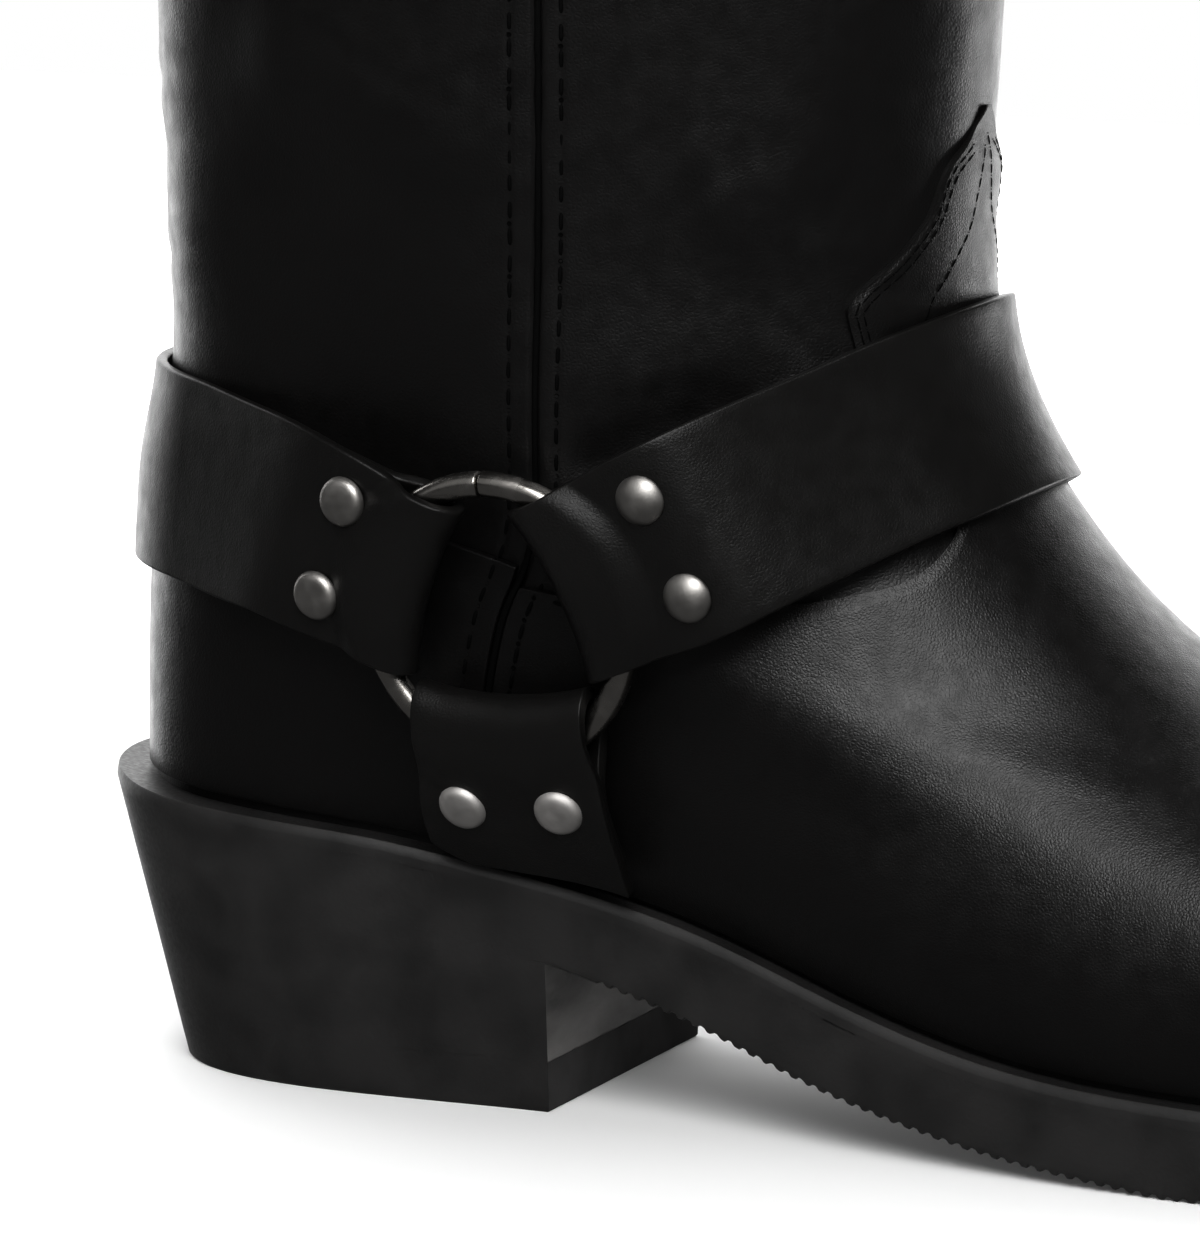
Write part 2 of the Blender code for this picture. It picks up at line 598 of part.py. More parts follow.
def make_wrap_strap(strap, count):
    """Strap from one ring to the other, over the instep or round the heel."""
    halves = []
    for side in (LATERAL, MEDIAL):
        halves.append(strap_end(strap, side, FLAT_AGAIN) + strap_rest(strap, side, count))
    columns = halves[0] + halves[1][-2::-1]
    sheet(f"harness_strap_{strap}", "strap", [np.stack(columns, axis=1)], STRAP_THICKNESS, 0)


def make_bottom_strap(side):
    """Strap from a ring down to the welt."""
    seat, _ = sole_heights(RING_X - STRAP_HALF_AT_WELT)
    droop = math.tan(BOTTOM_DROOP) * (1 + ACROSS) * STRAP_HALF_AT_WELT
    columns = strap_end("bottom", side, RING_Z - seat - WELT_CLEAR + droop)
    sheet(f"harness_strap_bottom_{side}", "strap", [np.stack(columns, axis=1)], STRAP_THICKNESS, 0)


def make_ring(side):
    centre, out = ring_frame(side)
    bpy.ops.mesh.primitive_torus_add(major_radius=RING_RADIUS, minor_radius=RING_WIRE,
                                     major_segments=24, minor_segments=8)
    ring = bpy.context.object
    ring.name = ring.data.name = f"harness_ring_{side}"
    ring.data.materials.append(materials["nickel"])
    ring.data.shade_smooth()
    for collection in list(ring.users_collection):
        collection.objects.unlink(ring)
    boot.objects.link(ring)
    ring.parent = root
    ring.matrix_local = Matrix.Translation(centre) @ Vector(out).to_track_quat("Z", "X").to_matrix().to_4x4()


def rivet_mesh():
    """Half outline of a domed rivet cap, for turning."""
    form = bmesh.new()
    turns = np.linspace(0, math.pi / 2, 4)
    outer = [(RIVET_RADIUS * math.sin(t), 0, RIVET_HEIGHT * math.cos(t)) for t in turns]
    verts = [form.verts.new(point) for point in [*outer, (0, 0, 0)]]
    for first, second in zip(verts, verts[1:]):
        form.edges.new((first, second))
    mesh = bpy.data.meshes.new("rivet")
    form.to_mesh(mesh)
    form.free()
    mesh.materials.append(materials["nickel"])
    return mesh


def make_rivets():
    """Two rivets through each strap end, beside each ring."""
    mesh = rivet_mesh()
    rim = np.linspace(0, 2 * math.pi, 12, endpoint=False)
    for strap in STRAPS:
        for side in (LATERAL, MEDIAL):
            for number, across in enumerate((-RIVET_SPREAD, RIVET_SPREAD), 1):
                distance = STRAPS[strap]["rivets"] + RIVET_SEAT * np.cos(rim)
                footprint = strap_point(strap, side, distance, across + RIVET_SEAT * np.sin(rim), 1)
                seat = footprint.mean(axis=0)
                out = np.linalg.svd(footprint - seat)[2][2]
                out *= np.sign(out.dot(ring_frame(side)[1]))
                seat += out * (((footprint - seat) @ out).max() + STRAP_THICKNESS / 2 + GAP)
                body = bpy.data.objects.new(f"rivet_{strap}_{side}_{number}", mesh)
                boot.objects.link(body)
                body.parent = root
                turn = Vector(out).to_track_quat("Z", "X").to_matrix().to_4x4()
                body.matrix_local = Matrix.Translation(seat) @ turn
                dome = body.modifiers.new("dome", "SCREW")
                dome.steps = dome.render_steps = 8
                dome.use_merge_vertices = True
                dome.merge_threshold = 1e-5
                dome.use_normal_calculate = True


for old in list(bpy.data.objects):
    bpy.data.objects.remove(old)
boot = bpy.data.collections.new("biker_boot")
bpy.context.scene.collection.children.link(boot)
root = bpy.data.objects.new("boot", None)
boot.objects.link(root)
root.location.x = -(HEEL_BREAST + heel_ring(0.0)[:, 0].min()) / 2
materials = {name: make_material(name) for name in MATERIALS}

make_sole()
make_heel()
make_upper()
make_vamp()
make_counter()
for foot_side in (LATERAL, MEDIAL):
    make_piping(foot_side)
    make_ring(foot_side)
    make_bottom_strap(foot_side)
make_wrap_strap("front", 9)
make_wrap_strap("rear", 7)
make_rivets()
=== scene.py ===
"""The dressed right biker boot: leather, straps, metal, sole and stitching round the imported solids, with the
photo's camera."""

import functools
import math

import bmesh
import bpy
import numpy as np
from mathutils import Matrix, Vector


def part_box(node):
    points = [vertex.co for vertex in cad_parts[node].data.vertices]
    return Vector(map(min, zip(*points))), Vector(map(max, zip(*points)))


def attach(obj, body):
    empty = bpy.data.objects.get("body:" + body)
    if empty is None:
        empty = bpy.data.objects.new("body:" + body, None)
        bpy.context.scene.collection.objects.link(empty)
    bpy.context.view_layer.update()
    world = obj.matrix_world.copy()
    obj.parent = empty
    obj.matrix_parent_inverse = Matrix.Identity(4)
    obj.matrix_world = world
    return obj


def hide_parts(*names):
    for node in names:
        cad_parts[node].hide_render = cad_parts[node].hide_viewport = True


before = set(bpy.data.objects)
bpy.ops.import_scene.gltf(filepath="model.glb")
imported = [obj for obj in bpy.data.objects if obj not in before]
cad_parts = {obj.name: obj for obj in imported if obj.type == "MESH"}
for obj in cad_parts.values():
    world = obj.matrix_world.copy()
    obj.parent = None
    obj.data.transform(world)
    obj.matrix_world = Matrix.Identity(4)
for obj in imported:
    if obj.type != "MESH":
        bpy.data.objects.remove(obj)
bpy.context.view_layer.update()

MM = 0.001
# Steps of angle and of place over which slopes are measured, and the rounds of a bisection
TURN_STEP = 1e-3
PLACE_STEP = 1e-4
HALVINGS = 36

# Driving dimensions of the last, the shaft and the sole
LENGTH = 0.300
BALL_WIDTH = 0.100
SHAFT_HEIGHT = 0.300
HEEL_RISE = 0.0348
TOE_SPRING = 0.0122
SOLE_THICKNESS = 0.0146
WALL = 0.0022
OVERLAY = 0.0010
GAP = 0.0003
OVERLAY_GAP = 0.0004
OVERLAY_RISE = OVERLAY_GAP + OVERLAY

# Welt, outsole and heel
WELT_THICKNESS = 0.0030
WELT_LEDGE = 0.0055
BACK_LEDGE = 0.0018
WELT_INSIDE = 0.0100
HEEL_BREAST = 0.0886
HEEL_RAKE = 0.235
HEEL_TAPER = 0.035
BREAST_BLEND = 0.012
LIFT_THICKNESS = 0.0085

# Harness: rings, straps and rivets
RING_X = 0.0872
RING_Z = 0.0845
RING_RADIUS = 0.0223
RING_WIRE = 0.0021
STRAP_THICKNESS = 0.0020
STRAP_HALF = 0.0165
STRAP_HALF_AT_FOLD = 0.0151
FOLD_BOW = 0.35
STRAP_HALF_AT_WELT = 0.0174
STRAP_CLEAR = 0.0007
WIRE_CLEAR = 0.0006
WELT_CLEAR = 0.0020
FRONT_SLOPE = math.radians(25.5)
REAR_SLOPE = math.radians(20.5)
BOTTOM_LEAN = math.radians(2.0)
BOTTOM_DROOP = math.radians(4.0)
REAR_STRAP_Z = 0.1003
INNER_LAYER_END = 0.0400
INNER_TRIM = 0.0012
LAYERS_JOIN = 0.0440
FLAT_AGAIN = 0.0580
FOLD_RAMP = (0.018, 0.034)
WELT_RAMP = (0.030, 0.045)
PINCH_FROM = 0.6 * RING_WIRE
PINCH_RUN = {"front": 0.0065, "rear": 0.0065, "bottom": 0.0095}
RIVET_SPREAD = 0.0085
RIVET_RADIUS = 0.0041
OVERLAID = OVERLAY_RISE + STRAP_CLEAR
LAYER = STRAP_THICKNESS + GAP
WRAP = RING_WIRE + WIRE_CLEAR + STRAP_THICKNESS / 2

# Sole line: x is a share of LENGTH, heel of HEEL_RISE, spring of TOE_SPRING and depth of SOLE_THICKNESS
SOLE_COLUMNS = ("x", "heel", "spring", "depth")
SOLE_LINE = np.array((
    (-0.007, 1.000, 0.000, 0.911),
    (0.040, 0.943, 0.000, 0.911),
    (0.100, 0.905, 0.000, 0.911),
    (0.150, 0.874, 0.000, 0.911),
    (0.200, 0.830, 0.000, 0.911),
    (0.247, 0.761, 0.000, 0.911),
    (0.295, 0.684, 0.000, 0.925),
    (0.389, 0.503, 0.000, 1.020),
    (0.452, 0.330, 0.000, 1.050),
    (0.513, 0.175, 0.000, 1.000),
    (0.575, 0.066, 0.000, 0.970),
    (0.633, 0.017, 0.000, 0.985),
    (0.680, 0.000, 0.000, 1.020),
    (0.790, 0.000, 0.000, 1.020),
    (0.873, 0.000, 0.148, 0.973),
    (0.960, 0.000, 0.508, 0.918),
    (1.040, 0.000, 1.000, 0.890),
))

# Loops of the upper from the feather edge to the collar. Places along x are shares of LENGTH, heights of
# SHAFT_HEIGHT, radii and half-widths of BALL_WIDTH; sag is how much of the sole's curve the loop keeps.
LOOP_COLUMNS = (
    "back_x", "back_z", "front_x", "front_z", "front_y", "sag", "back_r", "front_r",
    "lat_rear", "lat_mid", "lat_fore", "med_rear", "med_mid", "med_fore", "seam_x",
)
LOOPS = np.array((
    (0.0200, 0.159, 1.0165, 0.085, 0.060, 1.00, 0.300, 0.420, 0.285, 0.375, 0.460, 0.275, 0.265, 0.475, 0.262),
    (0.0205, 0.190, 1.0230, 0.112, 0.060, 0.95, 0.305, 0.440, 0.322, 0.415, 0.478, 0.312, 0.305, 0.497, 0.263),
    (0.0210, 0.227, 1.0200, 0.135, 0.060, 0.86, 0.310, 0.430, 0.350, 0.425, 0.475, 0.340, 0.335, 0.495, 0.265),
    (0.0220, 0.263, 0.9970, 0.153, 0.060, 0.74, 0.310, 0.290, 0.368, 0.414, 0.433, 0.355, 0.343, 0.450, 0.269),
    (0.0238, 0.298, 0.9430, 0.165, 0.060, 0.62, 0.312, 0.182, 0.378, 0.409, 0.376, 0.364, 0.347, 0.383, 0.275),
    (0.0264, 0.332, 0.8670, 0.173, 0.055, 0.52, 0.315, 0.153, 0.383, 0.410, 0.347, 0.369, 0.354, 0.341, 0.282),
    (0.0298, 0.363, 0.7770, 0.187, 0.050, 0.43, 0.320, 0.154, 0.380, 0.414, 0.346, 0.366, 0.361, 0.326, 0.290),
    (0.0325, 0.393, 0.6900, 0.210, 0.045, 0.34, 0.322, 0.190, 0.375, 0.418, 0.352, 0.362, 0.370, 0.328, 0.296),
    (0.0335, 0.423, 0.6210, 0.247, 0.040, 0.25, 0.325, 0.228, 0.370, 0.423, 0.356, 0.358, 0.382, 0.338, 0.301),
    (0.0325, 0.455, 0.5650, 0.297, 0.035, 0.16, 0.330, 0.260, 0.366, 0.429, 0.358, 0.356, 0.394, 0.343, 0.303),
    (0.0308, 0.490, 0.5230, 0.354, 0.030, 0.08, 0.335, 0.287, 0.364, 0.436, 0.363, 0.356, 0.403, 0.347, 0.304),
    (0.0288, 0.527, 0.4985, 0.415, 0.025, 0.03, 0.340, 0.300, 0.368, 0.446, 0.372, 0.361, 0.414, 0.355, 0.306),
    (0.0268, 0.567, 0.4955, 0.483, 0.020, 0.00, 0.350, 0.310, 0.376, 0.456, 0.382, 0.369, 0.426, 0.366, 0.308),
    (0.0258, 0.620, 0.5010, 0.563, 0.015, 0.00, 0.360, 0.330, 0.387, 0.468, 0.394, 0.381, 0.441, 0.380, 0.310),
    (0.0248, 0.707, 0.5060, 0.673, 0.010, 0.00, 0.375, 0.350, 0.402, 0.484, 0.408, 0.398, 0.462, 0.397, 0.311),
    (0.0225, 0.843, 0.5120, 0.830, 0.000, 0.00, 0.390, 0.370, 0.420, 0.502, 0.424, 0.417, 0.486, 0.418, 0.310),
    (0.0200, 1.000, 0.5180, 1.000, 0.000, 0.00, 0.400, 0.380, 0.430, 0.512, 0.434, 0.429, 0.502, 0.431, 0.308),
))
TOP_LEVEL = len(LOOPS) - 1

# Top edge of the heel counter: share of the way from the seam to the back, and level
COUNTER_EDGE = np.array(((0.0, 7.2), (1.0, 4.9)))

SIDES = LATERAL, MEDIAL = "lateral", "medial"


def spline(knots, values, at):
    """Natural cubic spline through values, one row or number for each knot, read at any array of places."""
    knots, values, at = np.asarray(knots, float), np.asarray(values, float), np.asarray(at, float)
    count, step = len(knots), np.diff(knots)
    lead = (-1,) + (1,) * (values.ndim - 1)
    system = np.eye(count)
    bend = np.zeros_like(values)
    slope = np.diff(values, axis=0) / step.reshape(lead)
    for i in range(1, count - 1):
        system[i, i - 1:i + 2] = step[i - 1], 2 * (step[i - 1] + step[i]), step[i]
        bend[i] = 6 * (slope[i] - slope[i - 1])
    curve = np.linalg.solve(system, bend)
    span = np.clip(np.searchsorted(knots, at) - 1, 0, count - 2)
    tail = at.shape + (1,) * (values.ndim - 1)
    width = step[span].reshape(tail)
    right = ((at - knots[span]) / step[span]).reshape(tail)
    left = 1 - right
    bow = (left**3 - left) * curve[span] + (right**3 - right) * curve[span + 1]
    return left * values[span] + right * values[span + 1] + width**2 / 6 * bow


def smooth(value, low, high):
    """0 up to low, 1 from high on, with a soft ramp between."""
    share = np.clip((value - low) / (high - low), 0, 1)
    return share * share * (3 - 2 * share)


def unit(vectors):
    return vectors / np.linalg.norm(vectors, axis=-1, keepdims=True)


def run_length(points):
    """Length along a line of points, from its start to each of them."""
    return np.concatenate([[0], np.cumsum(np.linalg.norm(np.diff(points, axis=0), axis=1))])


def full_turn(count):
    return np.linspace(0, 2 * math.pi, count, endpoint=False)


def sole_heights(x):
    """Height of the welt's top and of the outsole's underside at x, which is flat where it meets the floor."""
    row = dict(zip(SOLE_COLUMNS, np.moveaxis(spline(SOLE_LINE[:, 0] * LENGTH, SOLE_LINE, x), -1, 0)))
    seat = SOLE_THICKNESS + HEEL_RISE * row["heel"] + TOE_SPRING * row["spring"]
    return seat, np.maximum(seat - SOLE_THICKNESS * row["depth"], 0)


def loop_values(level):
    """The loop table's columns at a level, in metres."""
    row = dict(zip(LOOP_COLUMNS, np.moveaxis(spline(np.arange(len(LOOPS)), LOOPS, level), -1, 0)))
    for name in row:
        if name != "sag":
            row[name] = row[name] * (LENGTH if name.endswith("_x") else
                                     SHAFT_HEIGHT if name.endswith("_z") else BALL_WIDTH)
    return row


def surface(level, angle):
    """Points on the outside of the upper. The angle is 0 at the heel's back, and pi at the toe, by the lateral
    side."""
    level, angle = np.broadcast_arrays(np.asarray(level, float), np.asarray(angle, float))
    row = loop_values(level)
    along = (1 - np.cos(angle)) / 2
    half_length = (row["front_x"] - row["back_x"]) / 2
    lateral = np.sin(angle) >= 0
    quarter = math.sqrt(0.75)
    rear = np.where(lateral, row["lat_rear"], row["med_rear"]) / quarter
    middle = np.where(lateral, row["lat_mid"], row["med_mid"])
    fore = np.where(lateral, row["lat_fore"], row["med_fore"]) / quarter
    ends = np.sqrt(np.stack([row["back_r"], row["front_r"]]) * half_length)
    shares = spline(np.linspace(0, 1, 5), np.eye(5), along)
    reach = (shares * np.stack([ends[0], rear, middle, fore, ends[1]], axis=-1)).sum(axis=-1)
    feather = loop_values(0.0)
    seat_chord = feather["back_z"] + (feather["front_z"] - feather["back_z"]) * along
    seat, _ = sole_heights(feather["back_x"] + (feather["front_x"] - feather["back_x"]) * along)
    chord = row["back_z"] + (row["front_z"] - row["back_z"]) * along
    return np.stack([
        row["back_x"] + 2 * half_length * along,
        row["front_y"] * along**2 - np.sin(angle) * reach,
        chord + row["sag"] * (seat + 2 * GAP - seat_chord),
    ], axis=-1)


def round_loop(level, angle):
    """Step along the upper's loop at an angle."""
    return surface(level, angle + TURN_STEP) - surface(level, angle - TURN_STEP)


def normal(level, angle):
    """Outward unit normals of the upper's surface."""
    below, above = np.clip(level - TURN_STEP, 0, TOP_LEVEL), np.clip(level + TURN_STEP, 0, TOP_LEVEL)
    return unit(np.cross(round_loop(level, angle), surface(above, angle) - surface(below, angle)))


def lifted(level, angle, height):
    """Points at a height off the upper's surface."""
    return surface(level, angle) + normal(level, angle) * np.asarray(height)[..., None]


def angle_at(level, x):
    """Lateral angle at which the loop of a level passes x."""
    row = loop_values(level)
    along = np.clip((x - row["back_x"]) / (row["front_x"] - row["back_x"]), 0, 1)
    return np.arccos(1 - 2 * along)


def seam_angle(level):
    return angle_at(level, loop_values(level)["seam_x"])


def seam_pace(level):
    """How far the surface runs at the side seam for each radian of angle."""
    return np.linalg.norm(round_loop(level, seam_angle(level)), axis=-1) / (2 * TURN_STEP)


def on_side(angle, side):
    return angle if side == LATERAL else 2 * math.pi - angle


def highest_level(too_low, shape):
    """Bisects for the level up to which too_low holds."""
    low, high = np.zeros(shape), np.full(shape, float(TOP_LEVEL))
    for _ in range(HALVINGS):
        middle = (low + high) / 2
        below = too_low(middle)
        low, high = np.where(below, middle, low), np.where(below, high, middle)
    return low


def locate(x, z):
    """Level and lateral angle of the point that shows at (x, z) from the side."""
    x, z = np.broadcast_arrays(np.asarray(x, float), np.asarray(z, float))
    level = highest_level(lambda trial: surface(trial, angle_at(trial, x))[..., 2] < z, x.shape)
    return level, angle_at(level, x)


def column_angle(level, share, part):
    """Angle of a grid column, as a share of the way from the side seam to the front or to the back."""
    seam = seam_angle(level)
    return seam + (math.pi - seam) * share if part == "front" else seam * (1 - share)


def outline(outset, angle, depth=0.0):
    """Plan of the feather edge, moved outward and a little more at the back, from there by the lateral side.
    At a depth below the welt's top, the heel's sides have drawn in."""
    points = surface(0.0, angle)[:, :2]
    run = surface(0.0, angle + PLACE_STEP)[:, :2] - surface(0.0, angle - PLACE_STEP)[:, :2]
    out = np.stack([run[:, 1], -run[:, 0]], axis=-1)
    if outset > 0:
        back = (1 + np.cos(angle)) / 2
        in_heel = 1 - smooth(points[:, 0], HEEL_BREAST, HEEL_BREAST + BREAST_BLEND)
        outset = outset + BACK_LEDGE * back**4 - depth * (HEEL_TAPER + HEEL_RAKE * back**6) * in_heel
        outset = outset[:, None]
    return points + unit(out) * outset


def heel_ring(height):
    """Ring round the heel at a height over the floor, or just under the outsole where that is lower."""
    angle = np.linspace(0, math.pi, 721)
    sides = []
    for turn in (1, -1):
        plan = outline(WELT_LEDGE, turn * angle)
        for _ in range(3):
            seat, under = sole_heights(plan[:, 0])
            level = np.minimum(height, under + 0.05 * MM)
            plan = outline(WELT_LEDGE, turn * angle, seat - level)
        corner = np.interp(HEEL_BREAST, plan[:, 0], angle)
        chosen = np.linspace(0, 1, HEEL_STEPS) * corner
        sides.append(np.column_stack([np.interp(chosen, angle, values) for values in (*plan.T, level)]))
    return np.concatenate([sides[0], sides[1][:0:-1]])


def rear_line(x):
    """Height of the rear strap's middle line, level at the back of the heel."""
    back = loop_values(5.0)["back_x"]
    return REAR_STRAP_Z - (REAR_STRAP_Z - RING_Z) * ((x - back) / (RING_X - back)) ** 2


def front_line(x):
    return RING_Z + math.tan(FRONT_SLOPE) * (x - RING_X)


def line_slope(line, x):
    """Slope angle of a strap's middle line."""
    return np.arctan((line(x + PLACE_STEP) - line(x - PLACE_STEP)) / (2 * PLACE_STEP))


@functools.cache
def ring_frame(side):
    """Centre and outward axis of a harness ring, standing off the ankle's highest spot by one strap layer."""
    reach = RING_RADIUS + STRAP_HALF_AT_FOLD
    ends_x, ends_z = np.array([0, reach, -reach, 0, 0]), np.array([0, 0, 0, reach, -reach]) / 2
    level, angle = locate(RING_X + ends_x, RING_Z + ends_z)
    centre, front, back, top, bottom = surface(level, on_side(angle, side))
    out = unit(np.cross(front - back, top - bottom))
    out *= np.sign(out[1] * centre[1])
    spot_x, spot_z = np.meshgrid(np.linspace(-reach, reach, 9), np.linspace(-reach, reach, 9) / 2)
    level, angle = locate(RING_X + spot_x, RING_Z + spot_z)
    stand = ((surface(level, on_side(angle, side)) - centre) @ out).max()
    return centre + out * (stand + OVERLAID + STRAP_THICKNESS + WIRE_CLEAR + RING_WIRE), out


def half_width(strap, distance):
    width = STRAP_HALF_AT_FOLD + (STRAP_HALF - STRAP_HALF_AT_FOLD) * smooth(distance, *FOLD_RAMP)
    if strap == "bottom":
        width = width + (STRAP_HALF_AT_WELT - STRAP_HALF) * smooth(distance, *WELT_RAMP)
    return width


def strap_bed(strap, level, angle):
    """Height off the upper at which a strap lies: over the overlays, and lower past the counter's edge."""
    if strap != "rear":
        return np.full_like(level, OVERLAID)
    edge = np.interp(1 - angle / seam_angle(level), *COUNTER_EDGE.T)
    return STRAP_CLEAR + (OVERLAID - STRAP_CLEAR) * (1 - smooth(level, edge - 0.6, edge + 1.8))


def side_view(strap, distance, offset):
    """Place in the side view at a distance from the ring's centre and an offset across the strap."""
    run_x, run_z = STRAPS[strap]["run"]
    line = STRAPS[strap]["line"]
    if line is None:
        return RING_X + run_x * distance + offset, RING_Z + run_z * distance
    x = RING_X + run_x * distance
    slope = line_slope(line, x)
    return x - np.sin(slope) * offset, line(x) + np.cos(slope) * offset


def strap_point(strap, side, distance, offset, layer):
    """Middle of a strap's layer, 0 under the ring and 1 over it. The two part round the wire, meet at the
    rivets in the ring's plane, and then lie along the boot."""
    centre, out = ring_frame(side)
    run_x, run_z = STRAPS[strap]["run"]
    run = np.array([run_x, 0, run_z])
    run = unit(run - out * run.dot(out))
    cross = np.array([1.0, 0, 0] if strap == "bottom" else [0, 0, 1.0])
    cross = unit(cross - out * cross.dot(out) - run * cross.dot(run))
    flat = centre + distance[..., None] * run + offset[..., None] * cross
    level, angle = locate(*side_view(strap, distance, offset))
    bed = strap_bed(strap, level, angle)
    angle = on_side(angle, side)
    doubled = 1 - smooth(distance, LAYERS_JOIN, FLAT_AGAIN)
    laid = lifted(level, angle, bed + (STRAP_THICKNESS + LAYER * doubled) / 2)
    share = smooth(distance, *STRAPS[strap]["bend"])[..., None]
    past_wire = distance - np.sqrt(RING_RADIUS**2 - offset**2)
    pinched = smooth(past_wire, PINCH_FROM, PINCH_FROM + PINCH_RUN[strap])
    apart = LAYER / 2 + (WRAP - LAYER / 2) * (1 - pinched)
    away = out * (1 - share) + normal(level, angle) * share
    return flat * (1 - share) + laid * share + away * (doubled * apart * (2 * layer - 1))[..., None]


# Each strap's middle line, its direction from the ring, and the distances of its rivets and of its bend
STRAPS = {
    "front": {"line": front_line, "run": (math.cos(FRONT_SLOPE), math.sin(FRONT_SLOPE)),
              "rivets": 0.0340, "bend": (0.0360, 0.0560)},
    "rear": {"line": rear_line, "run": (-math.cos(REAR_SLOPE), math.sin(REAR_SLOPE)),
             "rivets": 0.0297, "bend": (0.0330, 0.0530)},
    "bottom": {"line": None, "run": (math.sin(BOTTOM_LEAN), -math.cos(BOTTOM_LEAN)),
               "rivets": 0.0305, "bend": (0.0285, 0.0450)},
}

# The tables are drawn from the back of the heel; this moves them to the part's own frame
SHIFT = np.array([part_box("upper")[0].x - LOOPS[0, 0] * LENGTH, 0, 0])

# Level at which the overlays begin, their distance from the side seam, and the rounding of cut edges
OVERLAY_START = 0.12
BESIDE_SEAM = 0.8 * MM
OVERLAY_CUT = 0.35 * MM
STRAP_CUT = 0.5 * MM
# How far the upper's skin reaches down behind the welt
TUCK = 0.9 * MM

# Mesh fineness of the dressed pieces
UPPER_ROWS = 200
LINING_ROWS = 60
COLLAR_ROWS = 6
VAMP_ROWS = 230
COUNTER_ROWS = 56
CORD_ROWS = 150
NEAR_SEAM = np.arange(0, 7.3, 0.45) * MM
REAR_STEPS = 34
FRONT_STEPS = 60
STRAP_ROWS = 17
OVER_COLUMNS = 35
REST_COLUMNS = {"front": 60, "rear": 48}
RING_STEPS = 144
WIRE_STEPS = 28
RIVET_STEPS = 40
SOLE_STEPS = 1000
HEEL_STEPS = 90
# A taut strap's columns are eased in passes, fading out over some columns past the bend
EASE_PASSES = 40
EASE_FADE = 8

# Side seams: the groove, the cord in it, and the two stitch rows behind and ahead of it, in mm
SEAM_GROOVE = (0.75, 0.80)
SEAM_CORD = (0.55, 0.35)
SEAM_ROWS = (-4.6, 3.8)
STITCH_TROUGH = (0.55, 0.16)
# Pitch, length and thread radius of the stitches, in mm
SEAM_STITCH = (4.3, 3.0, 0.33)
FINE_STITCH = (2.4, 1.9, 0.14)
# A needle hole's size, as a share of the thread's, and its rings as share of that size and rise in mm
HOLE_SIZE = 1.27
HOLE_RINGS = ((0.02, -0.10), (0.55, -0.02), (1.0, 0.05))
# Stitch rows of the tongue: insets from its edge in mm, and the inner row as level and share
TONGUE_ROWS = (1.3, 2.4)
TONGUE_LINE = np.array(((10.2, 0.64), (11.0, 0.72), (11.5, 0.803), (12.0, 0.93), (12.4, 0.975), (12.6, 0.99)))

# The vamp's upper edge, as level and share of the way from the seam to the front, up to the tongue's tip
VAMP_OUTLINE = np.array((
    (5.86, 0.000), (6.95, 0.095), (7.64, 0.207), (8.05, 0.285), (8.45, 0.394), (8.75, 0.494), (9.05, 0.574),
    (9.35, 0.646), (9.50, 0.670), (9.80, 0.645), (10.90, 0.574), (11.10, 0.566), (11.28, 0.557),
    (11.45, 0.594), (11.80, 0.707), (12.05, 0.776), (12.30, 0.812), (12.43, 0.838), (12.55, 0.895),
    (12.80, 1.000),
))
# Levels over which the vamp thins toward the tongue's tip
TONGUE_THINS = (12.15, 12.7)
# The counter's upper edge, as share of the way from the seam to the back, and level
COUNTER_OUTLINE = np.array(((0.0, 6.55), (0.25, 5.9), (1.0, 4.87)))

# Folds of the leather: side, half-width and rise in mm, and the line's points in mm from the back of the heel
# and from the floor
FOLDS = (
    (LATERAL, 12.0, 2.1, ((34, 177), (57, 167), (88, 154))),
    (LATERAL, 1.8, -0.28, ((46, 178), (60, 172), (73, 166.5), (84, 161))),
    (LATERAL, 9.0, 0.9, ((14, 139), (37, 136), (56, 136))),
    (LATERAL, 12.0, 1.4, ((114, 148.5), (126, 151), (139, 153.5))),
    (LATERAL, 2.2, -0.2, ((109, 146), (117, 154), (126, 159), (135, 157.5))),
    (LATERAL, 6.5, -0.7, ((129, 142), (136, 152), (145, 163))),
    (LATERAL, 6.5, -2.0, ((93, 103.5), (114, 112.5), (132, 120.5))),
    (LATERAL, 7.0, 0.25, ((94, 121), (112, 127), (128, 134))),
    (LATERAL, 2.6, 1.3, ((128, 90), (137, 92.5), (143, 95), (148, 97.5), (154, 100.5))),
    (LATERAL, 1.6, -0.25, ((99, 116), (110, 119.5), (121, 122))),
    (MEDIAL, 8.0, 0.9, ((30, 168), (52, 160), (80, 151))),
    (MEDIAL, 2.4, -0.3, ((40, 172), (60, 166), (82, 157))),
    (MEDIAL, 6.0, 0.7, ((112, 146), (124, 149), (138, 152))),
    (MEDIAL, 6.0, -0.55, ((100, 112), (114, 118), (128, 124))),
)
# Wrinkles round the back of the shaft: half-width, rise, height at the back and reach forward, all in mm
BACK_WRINKLES = (
    (2.2, 0.22, 163.0, 16), (1.3, -0.16, 159.5, 12), (2.0, 0.20, 155.5, 18), (3.5, -0.30, 148.0, 20),
    (2.4, 0.22, 134.0, 16), (1.4, -0.18, 130.5, 12), (2.2, 0.20, 127.0, 14),
)


def bell(value):
    return np.exp(-value * value)


